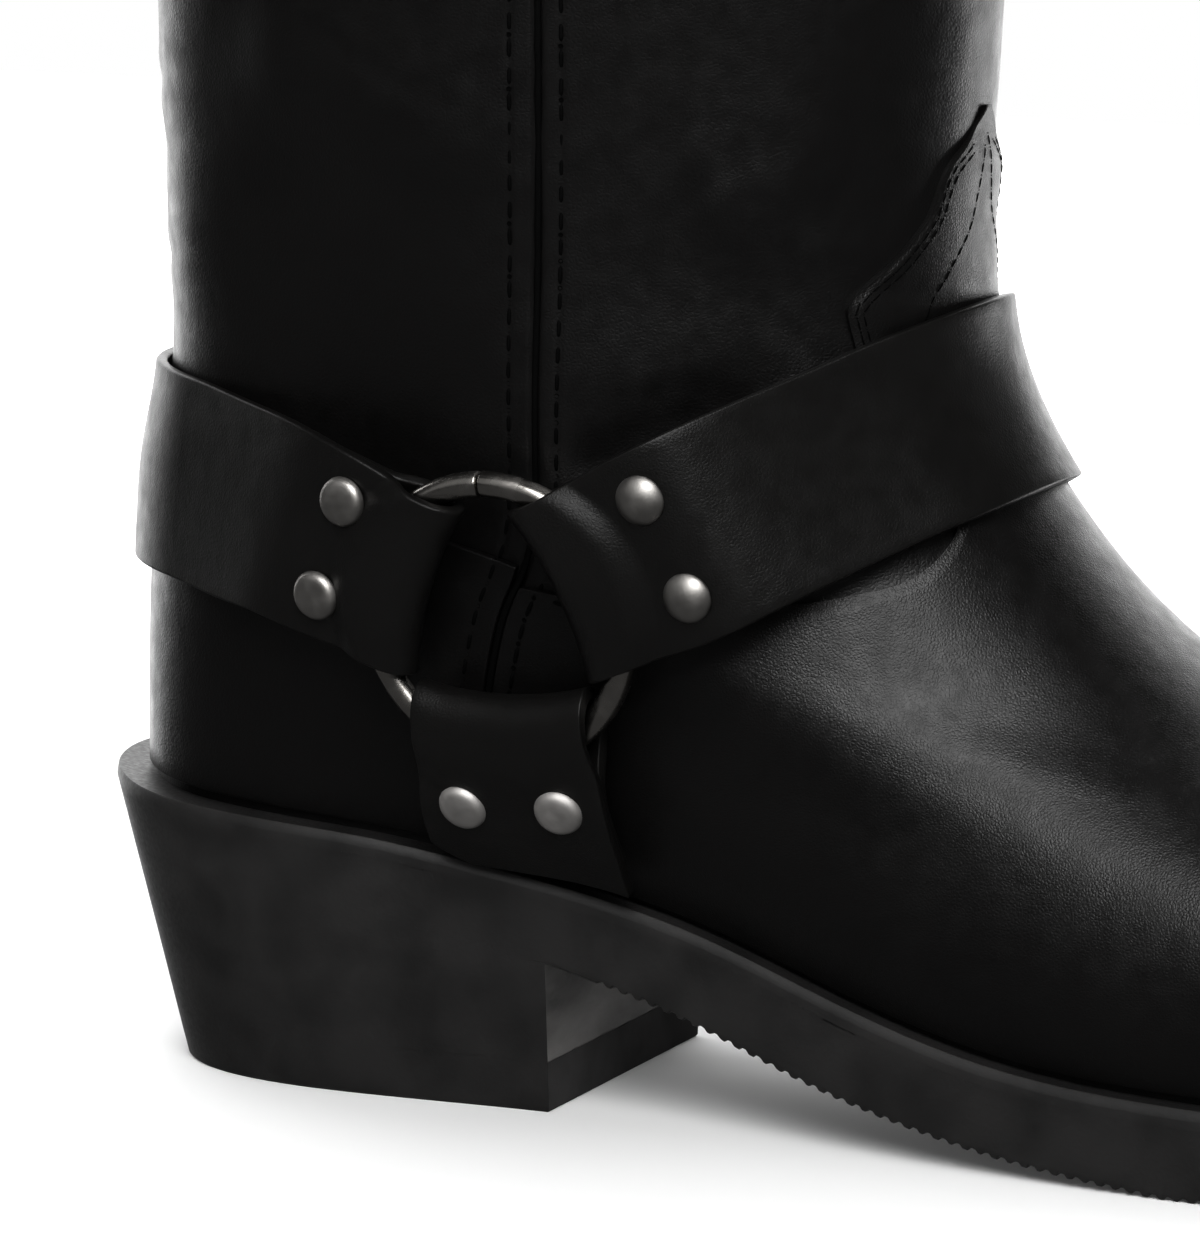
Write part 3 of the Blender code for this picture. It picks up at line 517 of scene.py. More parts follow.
def line_distance(x, z, line):
    """Distance of side-view points from a line of points, and the share of its length at the nearest one."""
    line = np.asarray(line, float)
    starts = run_length(line)
    nearest, share = np.full(np.shape(x), np.inf), np.zeros(np.shape(x))
    for first, second, start, end in zip(line, line[1:], starts, starts[1:]):
        step = end - start
        run = (second - first) / step
        along = np.clip((x - first[0]) * run[0] + (z - first[1]) * run[1], 0, step)
        gap = np.hypot(x - first[0] - along * run[0], z - first[1] - along * run[1])
        closer = gap < nearest
        nearest = np.where(closer, gap, nearest)
        share = np.where(closer, (start + along) / starts[-1], share)
    return nearest, share


def folds(level, angle):
    """Height of the leather's folds and unevenness over the upper's plain surface."""
    place = surface(level, angle) / MM
    x, y, z = place[..., 0], place[..., 1], place[..., 2]
    height = np.zeros(x.shape)
    for side, half, rise, line in FOLDS:
        outward = np.sin(angle) if side == LATERAL else -np.sin(angle)
        gap, share = line_distance(x, z, line)
        fade = smooth(share, -0.01, 0.25) * (1 - smooth(share, 0.7, 1.01))
        height += rise * bell(gap / half) * (0.15 + 0.85 * fade) * smooth(outward, 0.02, 0.2)
    for half, rise, back_z, reach in BACK_WRINKLES:
        ahead = x - x.min(axis=-1, keepdims=True)
        height += rise * bell((z - back_z + 0.25 * y) / half) * bell(ahead / reach)
    uneven = 0.10 * np.sin(x / 13 + z / 21) + 0.08 * np.sin(z / 11 - y / 17 + 1.3)
    uneven += 0.06 * np.sin(x / 7 - z / 9 + y / 8)
    return (height + uneven * smooth(level, 0.5, 3)) * MM


def seam_distance(level, angle):
    """Distance ahead of the side seam, in mm, on either side of the boot."""
    folded = np.where(np.sin(angle) >= 0, angle % (2 * math.pi), (-angle) % (2 * math.pi))
    return (folded - seam_angle(level)) * seam_pace(level) / MM


def dressed(level, angle, height, groove=False):
    """Points over the folded upper, with the troughs of its stitch rows, and of the side seam if asked."""
    level, angle, height = np.broadcast_arrays(level, angle, np.asarray(height, float))
    ahead = seam_distance(level, angle)
    half, depth = STITCH_TROUGH
    sink = sum(depth * bell((ahead - row) / half) for row in SEAM_ROWS)
    if groove:
        half, depth = SEAM_GROOVE
        sink = sink + depth * bell(ahead / half)
    return lifted(level, angle, height + folds(level, angle) - sink * MM)


def grid(points, closed=False):
    """Points and faces of a grid; closed joins its last column to the first."""
    rows, columns = points.shape[:2]
    place = np.arange(rows * columns).reshape(rows, columns)
    if closed:
        place = np.concatenate([place, place[:, :1]], axis=1)
    faces = np.stack([place[:-1, :-1], place[:-1, 1:], place[1:, 1:], place[1:, :-1]], axis=-1)
    return points.reshape(-1, 3), faces.reshape(-1, 4)


def join(parts):
    """One set of points and faces from parts of them."""
    starts = np.cumsum([0] + [len(points) for points, _ in parts])
    faces = [faces + start for (_, faces), start in zip(parts, starts)]
    return np.concatenate([points for points, _ in parts]), np.concatenate(faces)


def add_object(name, data):
    made = bpy.data.objects.new(name, data)
    bpy.context.scene.collection.objects.link(made)
    return made


def add_piece(name, parts, finishes, replaced=(), sharp=50, weld=True):
    """A piece of the boot from parts of points and faces, one finish each, that rides on the body."""
    points, faces = join(parts)
    picks = np.repeat(np.arange(len(parts)) % len(finishes), [len(part[1]) for part in parts])
    mesh = bpy.data.meshes.new(name)
    mesh.from_pydata((points + SHIFT).tolist(), [], faces.tolist())
    for finish in finishes:
        mesh.materials.append(finish)
    mesh.polygons.foreach_set("material_index", picks.tolist())
    if weld:
        form = bmesh.new()
        form.from_mesh(mesh)
        bmesh.ops.remove_doubles(form, verts=form.verts, dist=2e-6)
        bmesh.ops.dissolve_degenerate(form, edges=form.edges, dist=1e-7)
        bmesh.ops.recalc_face_normals(form, faces=form.faces)
        form.to_mesh(mesh)
        form.free()
    mesh.shade_smooth()
    mesh.set_sharp_from_angle(angle=math.radians(sharp))
    piece = add_object(name, mesh)
    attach(piece, "root")
    if replaced:
        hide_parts(*replaced)
    return piece


def thicken(piece, thickness, growth, edge):
    """Gives a sheet its thickness, with rounded cut edges."""
    wall = piece.modifiers.new("wall", "SOLIDIFY")
    wall.thickness = thickness
    wall.offset = growth
    wall.use_even_offset = True
    bevel = piece.modifiers.new("edge", "BEVEL")
    bevel.width = edge
    bevel.segments = 3
    bevel.limit_method = "ANGLE"
    bevel.angle_limit = math.radians(60)


def upper_angles(level):
    """Angles of the upper's columns: close together beside the side seams, even elsewhere."""
    seam = seam_angle(level)
    near = NEAR_SEAM / seam_pace(level)
    ahead, behind = seam + near, seam - near[:, ::-1]
    front = ahead[:, -1:] + (math.pi - ahead[:, -1:]) * np.linspace(0, 1, FRONT_STEPS + 1)[1:]
    rear = behind[:, :1] * np.linspace(0, 1, REAR_STEPS + 1)[:-1]
    half = np.concatenate([rear, behind[:, :-1], ahead, front], axis=1)
    return np.concatenate([half, 2 * math.pi - half[:, -2:0:-1]], axis=1)


def even_levels(count, low=0.0, high=TOP_LEVEL):
    """Levels that lie evenly up the side of the boot."""
    fine = np.linspace(low, high, 1500)
    length = run_length(surface(fine, seam_angle(fine)))
    return np.interp(np.linspace(0, length[-1], count), length, fine)


def make_upper():
    """Outside, rounded collar edge and lining as one continuous skin."""
    levels = even_levels(UPPER_ROWS)[:, None]
    outer = dressed(levels, upper_angles(levels), 0.0, groove=True)
    tucked = outer[:1] - (0, 0, TUCK)
    top = levels[-1:]
    rim = []
    for turn in np.linspace(0, math.pi, COLLAR_ROWS)[1:]:
        edge = dressed(top, upper_angles(top), -WALL / 2 * (1 - math.cos(turn)), groove=True)
        rim.append(edge + (0, 0, WALL / 4 * math.sin(turn)))
    inside_levels = even_levels(LINING_ROWS)[::-1, None][1:]
    inner = dressed(inside_levels, upper_angles(inside_levels), -WALL)
    skin = np.concatenate([tucked, outer, *rim[:3]])
    lining = np.concatenate([*rim[2:], inner])
    add_piece("boot_upper", [grid(skin, True), grid(lining, True)], [LEATHER, LINING],
              ["upper"])


def vamp_start(level):
    """Share of the way from the seam to the front at which the vamp begins, with its corners eased."""
    ease = np.linspace(-0.06, 0.06, 7)
    return np.interp(np.asarray(level)[..., None] + ease, *VAMP_OUTLINE.T).mean(axis=-1)


def vamp_rise(level):
    """Height of the vamp's face over the upper, thinned toward the tongue's tip."""
    return OVERLAY_RISE * (1 - 0.5 * smooth(level, *TONGUE_THINS))


def make_vamp():
    fine = np.linspace(OVERLAY_START, VAMP_OUTLINE[-1, 0] - 0.02, 3000)
    length = run_length(surface(fine, column_angle(fine, vamp_start(fine), "front")))
    level = np.interp(np.linspace(0, length[-1], VAMP_ROWS), length, fine)[:, None]
    steps = np.concatenate([np.linspace(0, 0.09, 14)[:-1], np.linspace(0.09, 1, 56)])
    share = vamp_start(level) + (1 - vamp_start(level)) * steps
    angle = np.maximum(column_angle(level, share, "front"), beside_seam(level, 1))
    angle = np.concatenate([angle, 2 * math.pi - angle[:, -2::-1]], axis=1)
    skived = 0.8 + 0.2 * smooth(np.concatenate([steps, steps[-2::-1]]), 0, 0.07)
    skin = dressed(level, angle, vamp_rise(level) * skived)
    piece = add_piece("boot_vamp", [grid(skin)], [GRAINED], ["vamp"])
    thicken(piece, OVERLAY_RISE, -1, OVERLAY_CUT)


def beside_seam(level, toward):
    """Angle at the overlays' edges beside the seam, toward the front (1) or the back (-1)."""
    return seam_angle(level) + toward * BESIDE_SEAM / seam_pace(level)


def make_counter():
    share = np.concatenate([np.linspace(0, 0.12, 16)[:-1], np.linspace(0.12, 1, 44)])
    top = np.interp(share, *COUNTER_OUTLINE.T)
    level = OVERLAY_START + (top - OVERLAY_START) * np.linspace(0, 1, COUNTER_ROWS)[:, None]
    angle = np.minimum(column_angle(level, share, "rear"), beside_seam(level, -1))
    angle = np.concatenate([-angle, angle[:, -2::-1]], axis=1)
    level = np.concatenate([level, level[:, -2::-1]], axis=1)
    skin = dressed(level, angle, OVERLAY_RISE)
    piece = add_piece("boot_heel_counter", [grid(skin)], [LEATHER], ["heel_counter"])
    thicken(piece, OVERLAY_RISE, -1, OVERLAY_CUT)


def make_seam_cord(side):
    """Flattened cord in the groove where the front and back panels meet."""
    level = even_levels(CORD_ROWS, OVERLAY_START)
    angle = on_side(seam_angle(level), side)
    out = normal(level, angle)
    run = unit(round_loop(level, angle))
    half, rise = np.array(SEAM_CORD) * MM
    middle = surface(level, angle) + out * folds(level[:, None], angle[:, None])
    middle = middle + out * (smooth(-level, -7.2, -5.2)[:, None] * OVERLAY_RISE - 0.45 * MM)
    rings = [middle + run * half * math.cos(turn) + out * rise * math.sin(turn) for turn in full_turn(12)]
    add_piece(f"boot_side_seam_{side}", [grid(np.stack(rings, axis=1), True)], [THREAD],
              [f"side_piping_{side}"])


def strap_end(strap, side, reach):
    """Columns of a strap's end: the layer under the ring, the fold round its wire, and the layer over it."""
    across = np.linspace(-1, 1, STRAP_ROWS)
    fold = across * STRAP_HALF_AT_FOLD
    wire = np.sqrt(RING_RADIUS**2 - fold**2)
    crease = wire.min() + FOLD_BOW * (wire - wire.min())

    def layer_at(distance, layer):
        trim = (1 - layer) * INNER_TRIM * smooth(distance, *FOLD_RAMP)
        return strap_point(strap, side, distance, across * (half_width(strap, distance) - trim), layer)

    pinch = np.stack([wire + PINCH_FROM + share * PINCH_RUN[strap] for share in np.linspace(0, 1, 13)])
    flat = pinch[-1] + (INNER_LAYER_END - pinch[-1]) * np.linspace(0, 1, 12)[1:, None]
    under, over = strap_point(strap, side, crease, fold, 0), strap_point(strap, side, crease, fold, 1)
    middle, rise = (under + over) / 2, (over - under) / 2
    inward = unit(strap_point(strap, side, crease - MM, fold, 0) - under)
    depth = WRAP * RING_RADIUS / wire.min()
    turns = np.linspace(-math.pi / 2, math.pi / 2, 17)
    bend = np.stack([middle + rise * math.sin(turn) + inward * depth * math.cos(turn) for turn in turns])
    rest = pinch[-1] + (reach - pinch[-1]) * np.linspace(0, 1, OVER_COLUMNS + 1)[1:, None]
    return np.concatenate([layer_at(np.concatenate([pinch, flat])[::-1], 0), bend,
                           layer_at(np.concatenate([pinch, rest]), 1)])


def strap_rest(strap, side, count):
    """Columns of a strap from where it lies flat to the middle of the front or the back."""
    offset = np.linspace(-1, 1, STRAP_ROWS) * STRAP_HALF
    line = STRAPS[strap]["line"]
    _, start = locate(*side_view(strap, np.full_like(offset, FLAT_AGAIN), offset))
    goal = math.pi if strap == "front" else 0.0
    angle = start + (goal - start) * np.linspace(0, 1, count + 1)[1:, None]

    def below(level):
        point = surface(level, angle)
        return (point[..., 2] - line(point[..., 0])) * np.cos(line_slope(line, point[..., 0])) < offset

    level = highest_level(below, angle.shape)
    return lifted(level, on_side(angle, side), strap_bed(strap, level, angle) + STRAP_THICKNESS / 2)


def pull_taut(columns):
    """Strap columns with each row drawn straight across the places where it sinks in, seen from above."""
    pulled = columns.copy()
    for row in range(columns.shape[1]):
        plan = columns[:, row, :2]
        steps = np.diff(plan, axis=0)
        turn = np.sign(np.cross(steps[0], steps[-1]))
        kept = []
        for index, point in enumerate(plan):
            while len(kept) > 1:
                last = plan[kept[-1]]
                if turn * np.cross(last - plan[kept[-2]], point - last) >= 0:
                    break
                kept.pop()
            kept.append(index)
        reach = run_length(plan)
        for axis in range(2):
            pulled[:, row, axis] = np.interp(reach, reach[kept], plan[kept, axis])
    ease = 1 - smooth(np.arange(1, len(columns) - 1), OVER_COLUMNS, OVER_COLUMNS + EASE_FADE)[:, None, None]
    for _ in range(EASE_PASSES):
        pulled[1:-1] += ease * (pulled[:-2] - 2 * pulled[1:-1] + pulled[2:]) / 4
    return pulled


def add_strap(name, columns):
    piece = add_piece(f"boot_strap_{name}", [grid(columns)], [STRAP],
                      [f"harness_strap_{name}"])
    thicken(piece, STRAP_THICKNESS, 0, STRAP_CUT)


def make_straps():
    for strap, count in REST_COLUMNS.items():
        ends = []
        for side in SIDES:
            end = np.concatenate([strap_end(strap, side, FLAT_AGAIN), strap_rest(strap, side, count)])
            over = len(end) - OVER_COLUMNS - count
            end[over:] = pull_taut(end[over:])
            ends.append(end)
        add_strap(strap, np.concatenate([ends[0], ends[1][-2::-1]]))
    seat, _ = sole_heights(RING_X - STRAP_HALF_AT_WELT)
    across = np.linspace(-1, 1, STRAP_ROWS)
    droop = math.tan(BOTTOM_DROOP) * (1 + across) * STRAP_HALF_AT_WELT
    droop += (1.0 * np.clip(across, 0, 1)**3 - 3.2 * np.clip((-0.55 - across) / 0.45, 0, 1)**2) * MM
    for side in SIDES:
        add_strap(f"bottom_{side}", strap_end("bottom", side, RING_Z - seat - WELT_CLEAR + droop))


def across_axes(out):
    """Two unit directions square to out and to each other."""
    first = unit(np.array([1.0, 0, 0]) - out * out[0])
    return first, np.cross(out, first)


def make_ring(side):
    """Ring of bent wire, with its butt joint at the top."""
    centre, out = ring_frame(side)
    first, second = across_axes(out)
    joint = math.atan2(second[2], first[2]) + 0.06
    gap = 0.12 * MM / RING_RADIUS
    ease = np.array([0, 0.25, 0.6, 1.1]) * 0.35 * MM / RING_RADIUS
    around = np.linspace(0, 2 * math.pi, RING_STEPS + 1)[2:-2]
    turns = np.concatenate([gap + ease, around, 2 * math.pi - gap - ease[::-1]])
    wire = np.full(len(turns), RING_WIRE)
    wire[:4] -= np.array([0.45, 0.22, 0.07, 0]) * MM
    wire[-4:] = wire[3::-1]
    points = []
    spin = full_turn(WIRE_STEPS)[:, None]
    for turn, radius in zip(turns + joint, wire):
        ray = first * math.cos(turn) + second * math.sin(turn)
        points.append(centre + ray * RING_RADIUS + radius * (ray * np.cos(spin) + out * np.sin(spin)))
    points = np.stack(points)
    caps = [np.stack([np.tile(end.mean(axis=0), (len(end), 1)), end]) for end in (points[0], points[-1])]
    parts = [grid(rows, True) for rows in (points, *caps)]
    add_piece(f"boot_ring_{side}", parts, [NICKEL], [f"harness_ring_{side}"])


# Half outlines of the rivet caps, as radius and height in mm: domed on the front strap, flatter on the others
DOMED = ((0, 2.2), (0.7, 2.17), (1.4, 2.05), (2.1, 1.83), (2.8, 1.48), (3.3, 1.12), (3.7, 0.75), (3.95, 0.42),
         (4.06, 0.2), (4.0, 0.0))
FLAT = ((0, 1.75), (1.0, 1.74), (2.0, 1.69), (2.8, 1.58), (3.3, 1.4), (3.65, 1.12), (3.9, 0.75), (4.05, 0.4),
        (4.08, 0.18), (4.0, 0.0))


def make_rivets():
    spin, rim = full_turn(RIVET_STEPS), full_turn(12)
    reach = 1.2 * RIVET_RADIUS
    for strap in STRAPS:
        half = np.array(DOMED if strap == "front" else FLAT) * MM
        # The bottom rivets take the lighter nickel, whose light tone is a painted reflection of the floor
        finish = DULL_NICKEL_FLOOR_SHEEN if strap == "bottom" else RIVET
        for side in SIDES:
            for number, across in enumerate((-RIVET_SPREAD, RIVET_SPREAD), 1):
                distance = STRAPS[strap]["rivets"] + reach * np.cos(rim)
                footprint = strap_point(strap, side, distance, across + reach * np.sin(rim), 1)
                seat = footprint.mean(axis=0)
                out = np.linalg.svd(footprint - seat)[2][2]
                out *= np.sign(out.dot(ring_frame(side)[1]))
                seat = seat + out * (STRAP_THICKNESS / 2 - 0.1 * MM)
                first, second = across_axes(out)
                rays = first * np.cos(spin)[:, None] + second * np.sin(spin)[:, None]
                points = seat + half[:, :1, None] * rays + half[:, 1:, None] * out
                name = f"rivet_{strap}_{side}_{number}"
                add_piece(f"boot_{name}", [grid(points, True)], [finish], [name])


def ring_at(plan, rise, under=False):
    seat, floor = sole_heights(plan[:, 0])
    return np.column_stack([plan, (floor if under else seat) + rise])


def filled(ring, count, steps):
    """Grid across a ring, between its first points and as many that run back from its end."""
    near, far = ring[:count], np.concatenate([ring[:1], ring[::-1][:count - 1]])
    shares = np.linspace(0, 1, steps)[:, None, None]
    return near * (1 - shares) + far * shares


SOLE_ANGLES = np.arange(2 * SOLE_STEPS) * math.pi / SOLE_STEPS
# Outer edge and top of the welt, from below: inset and depth in mm
WELT_EDGE = ((0.0, 3.3), (0.0, 1.7), (0.1, 1.4), (0.62, 0.2), (0.85, 0.0), (2.5, 0.05), (5.0, 0.2))
# Lower edge of the outsole: inset and rise in mm, and share of the ribs' depth
SOLE_EDGE = ((0.9, 0.0, 1), (0.35, 0.02, 1), (0.08, 0.25, 0.9), (0.0, 0.7, 0.55), (0.0, 1.3, 0.0))
RIB_PITCH = 2.6 * MM
RIB_DEPTH = 0.55 * MM
RIBS_FROM = 0.098
# Place in the plan toward which the heel's lower edge draws in
HEEL_MIDDLE = np.array([0.045, 0.0])


def make_welt():
    """Welt with a bevelled outer edge over a flat ledge."""
    angles = SOLE_ANGLES[::4]

    def edge(inset, depth):
        return ring_at(outline(WELT_LEDGE - inset * MM, angles, depth * MM), -depth * MM)

    rings = [edge(*row) for row in WELT_EDGE]
    rings += [ring_at(outline(-WELT_INSIDE, angles), rise) for rise in (-0.2 * MM, -WELT_THICKNESS)]
    add_piece("boot_welt", [grid(np.stack(rings + rings[:1]), True)], [SOLE], ["welt"], sharp=35)


def make_outsole():
    """Outsole with cross ribs under the arch and the forefoot, open at its side edges."""
    seat, under = sole_heights(0.0)

    def ribbed(ring, share):
        wave = 0.5 + 0.5 * np.cos(2 * math.pi * ring[:, 0] / RIB_PITCH)
        ahead = smooth(ring[:, 0], RIBS_FROM, RIBS_FROM + MM)
        ring[:, 2] += RIB_DEPTH * smooth(wave, 0.25, 0.75) * share * ahead
        return ring

    def edge(inset, rise, share):
        flush = outline(WELT_LEDGE, SOLE_ANGLES, seat - under - rise * MM)
        eased = smooth(flush[:, :1], HEEL_BREAST - 2 * MM, HEEL_BREAST + 4 * MM)
        plan = outline(WELT_LEDGE - inset * MM, SOLE_ANGLES, seat - under - rise * MM)
        return ribbed(ring_at(flush + (plan - flush) * eased, rise * MM, under=True), share)

    top = WELT_THICKNESS
    rings = [edge(*row) for row in SOLE_EDGE]
    rings += [ring_at(outline(ledge, SOLE_ANGLES, top), -top) for ledge in (WELT_LEDGE, WELT_LEDGE - 3 * MM)]
    parts = [grid(np.stack(rings), True), grid(filled(rings[0], SOLE_STEPS + 1, 13))]
    add_piece("boot_outsole", parts, [SOLE], ["outsole"], sharp=35)


def make_heel():
    """Stacked heel, flush with the sole, and the top lift on the floor."""
    def solid(name, heights, insets, finishes, replaced):
        rings = []
        for height, inset in zip(heights, insets):
            ring = heel_ring(height)
            ring[:, :2] += unit(HEEL_MIDDLE - ring[:, :2]) * inset
            rings.append(ring)
        side = np.stack(rings)
        lateral, medial = side[:, HEEL_STEPS - 1], side[:, HEEL_STEPS]
        shares = np.linspace(0, 1, 25)[None, :, None]
        breast = lateral[:, None] * (1 - shares) + medial[:, None] * shares
        walls = np.concatenate([side[:, HEEL_STEPS:], side[:, :HEEL_STEPS]], axis=1)
        caps = [filled(ring, HEEL_STEPS, 7) for ring in (side[0], side[-1])]
        parts = [grid(rows) for rows in (walls, breast, *caps)]
        finishes = [finishes[0], finishes[1], finishes[0], finishes[0]]
        add_piece(name, parts, finishes, replaced, sharp=30)

    heights = np.append(LIFT_THICKNESS + np.array([-0.1, 0.3, 6, 12, 18]) * MM, HEEL_RISE + SOLE_THICKNESS)
    solid("boot_heel_block", heights, np.zeros(6), (SOLE, BREAST), ["heel_block"])
    solid("boot_heel_top_lift", np.array([0, 0.35, 4, 8.2, 8.5]) * MM, np.array([0.4, 0.05, 0, 0, 0]) * MM,
          (SOLE, LIFT), ["heel_top_lift"])


def stitch_row(points, outs, pitch, length, radius):
    """Threads and needle holes, in mm, along a line of surface points with outward directions."""
    reach = run_length(points)
    threads, holes = [], []
    half, radius = length * MM / 2, radius * MM
    spin = full_turn(8)
    cos, sin = np.cos(spin)[:, None], np.sin(spin)[:, None]
    for start in np.arange(pitch * MM / 2, reach[-1] - pitch * MM / 2, pitch * MM):
        middle, before, after, out = (
            np.array([np.interp(at, reach, values[:, axis]) for axis in range(3)])
            for at, values in ((start, points), (start - MM, points), (start + MM, points), (start, outs)))
        run = unit(after - before)
        out = unit(out - run * out.dot(run))
        side = np.cross(run, out)
        rings = []
        for share in np.linspace(-1, 1, 9):
            size = radius * math.sqrt(max(1 - share**4, 0.02))
            place = middle + run * half * share + out * (0.36 - 0.9 * share**4) * radius
            rings.append(place + size * (side * cos + 0.8 * out * sin))
        threads.append(grid(np.stack(rings), True))
        hole = middle + run * pitch * MM / 2
        disc = [hole + out * lift * MM + HOLE_SIZE * radius * size * (side * cos + run * sin)
                for size, lift in HOLE_RINGS]
        holes.append(grid(np.stack(disc), True))
    return threads, holes


def make_stitching():
    threads, holes = [], []

    def row(level, angle, height, size):
        points = dressed(level[:, None], angle[:, None], height[:, None])[:, 0]
        more = stitch_row(points, normal(level, angle), *size)
        threads.extend(more[0])
        holes.extend(more[1])

    fine = even_levels(400, 0.6)
    for side in SIDES:
        for offset in SEAM_ROWS:
            over = COUNTER_OUTLINE[0, 1] if offset < 0 else VAMP_OUTLINE[0, 0]
            height = np.where(fine < over, OVERLAY_RISE, 0.0)
            angle = seam_angle(fine) + offset * MM / seam_pace(fine)
            row(fine, on_side(angle, side), height, SEAM_STITCH)
        for inset in TONGUE_ROWS:
            level = np.linspace(9.9, 12.62, 160)
            angle = column_angle(level, vamp_start(level), "front")
            edge = surface(level, angle)
            inward = unit(np.cross(normal(level, angle), np.gradient(edge, axis=0)))
            x_z = edge + inward * inset * MM * np.sign(inward[:, :1].mean())
            level, angle = locate(x_z[:, 0], x_z[:, 2])
            row(level, on_side(angle, side), vamp_rise(level), FINE_STITCH)
        level = np.linspace(TONGUE_LINE[0, 0], TONGUE_LINE[-1, 0], 80)
        share = spline(*TONGUE_LINE.T, level)
        row(level, on_side(column_angle(level, share, "front"), side), vamp_rise(level), FINE_STITCH)
        share = np.linspace(0.03, 0.16, 60)
        level = np.interp(share, VAMP_OUTLINE[:4, 1], VAMP_OUTLINE[:4, 0]) - 0.25
        row(level, on_side(column_angle(level, share, "front"), side), vamp_rise(level), SEAM_STITCH)
    # The needle holes' discs take the near-black finish, painted shade for the holes' depth
    add_piece("boot_stitching", [join(threads), join(holes)], [THREAD, HOLE_SHADE], weld=False)


def new_material(name, roughness, gloss=0.5, metallic=0.0):
    material = bpy.data.materials.new(name)
    material.use_nodes = True
    shader = material.node_tree.nodes["Principled BSDF"]
    shader.inputs["Roughness"].default_value = roughness
    shader.inputs["Specular IOR Level"].default_value = gloss
    shader.inputs["Metallic"].default_value = metallic
    return material, material.node_tree, shader


def node(tree, kind, place=None, settings=None, **inputs):
    """A node with its settings, its inputs set or linked, and its vector linked to a place if one is given."""
    made = tree.nodes.new(kind)
    for key, value in (settings or {}).items():
        setattr(made, key, value)
    for key, value in inputs.items():
        socket = made.inputs[key.replace("_", " ")]
        if isinstance(value, bpy.types.NodeSocket):
            tree.links.new(value, socket)
        else:
            socket.default_value = value
    if place is not None:
        tree.links.new(place, made.inputs["Vector"])
    return made


def coordinates(tree, stretch=(1, 1, 1)):
    place = node(tree, "ShaderNodeTexCoord").outputs["Object"]
    if stretch == (1, 1, 1):
        return place
    return node(tree, "ShaderNodeMapping", place, Scale=stretch).outputs["Vector"]


def noise(tree, place, size, detail=3.0):
    return node(tree, "ShaderNodeTexNoise", place, Scale=1 / size, Detail=detail).outputs["Fac"]


def ramp(tree, value, low, high, first, last):
    return node(tree, "ShaderNodeMapRange", Value=value, From_Min=low, From_Max=high, To_Min=first,
                To_Max=last).outputs["Result"]


def tint(tree, shader, share, dark, light):
    mix = node(tree, "ShaderNodeMix", settings={"data_type": "RGBA"})
    tree.links.new(share, mix.inputs["Factor"])
    for socket, colour in zip([s for s in mix.inputs if s.type == "RGBA"], (dark, light)):
        socket.default_value = (*colour, 1)
    result = [s for s in mix.outputs if s.type == "RGBA"][0]
    tree.links.new(result, shader.inputs["Base Color"])


def bumps(tree, shader, layers):
    """Chains bump layers of height, depth in metres and strength onto the shader."""
    last = None
    for height, depth, strength in layers:
        bump = node(tree, "ShaderNodeBump", Height=height, Distance=depth, Strength=strength)
        if last is not None:
            tree.links.new(last, bump.inputs["Normal"])
        last = bump.outputs["Normal"]
    tree.links.new(last, shader.inputs["Normal"])


def leather(name, dark, light, rough, gloss, grain, depth):
    """Black grained leather: fine cells between creases, pores, and slow changes of tone and gloss."""
    material, tree, shader = new_material(name, rough, gloss)
    place = coordinates(tree)
    cells = node(tree, "ShaderNodeTexVoronoi", place, settings={"feature": "DISTANCE_TO_EDGE"},
                 Scale=1 / grain).outputs["Distance"]
    pebble = ramp(tree, cells, 0.0, 0.32, 0.0, 1.0)
    fine = noise(tree, place, grain * 0.45, 4)
    cloud = noise(tree, place, 0.022, 3)
    slow = noise(tree, place, 0.004, 4)
    tint(tree, shader, cloud, dark, light)
    tree.links.new(ramp(tree, slow, 0.3, 0.7, rough - 0.06, rough + 0.06), shader.inputs["Roughness"])
    bumps(tree, shader, [(slow, 0.00025, 0.35), (pebble, depth, 0.55), (fine, depth * 0.6, 0.5)])
    return material


def worn_metal(name, dark, light, rough):
    material, tree, shader = new_material(name, rough, metallic=1.0)
    place = coordinates(tree)
    cloud = noise(tree, place, 0.003, 4)
    tint(tree, shader, cloud, dark, light)
    tree.links.new(ramp(tree, cloud, 0.3, 0.7, rough - 0.06, rough + 0.08), shader.inputs["Roughness"])
    bumps(tree, shader, [(noise(tree, place, 0.0006, 3), 0.00003, 0.4)])
    return material


def rough_stack(name, dark, light, rough, gloss, size, depth, stretch=(1, 1, 1)):
    """Rubber or stacked leather: speckled, with a fine rough surface."""
    material, tree, shader = new_material(name, rough, gloss)
    place = coordinates(tree, stretch)
    speck = noise(tree, place, size, 5)
    cloud = noise(tree, place, size * 14, 3)
    tint(tree, shader, ramp(tree, cloud, 0.35, 0.65, 0.0, 1.0), dark, light)
    tree.links.new(ramp(tree, speck, 0.3, 0.7, rough - 0.08, rough + 0.08), shader.inputs["Roughness"])
    bumps(tree, shader, [(speck, depth, 0.6)])
    return material


def plain(name, colour, rough):
    material, tree, shader = new_material(name, rough, 0.03)
    tint(tree, shader, noise(tree, coordinates(tree), 0.0008, 2), tuple(0.7 * c for c in colour), colour)
    return material


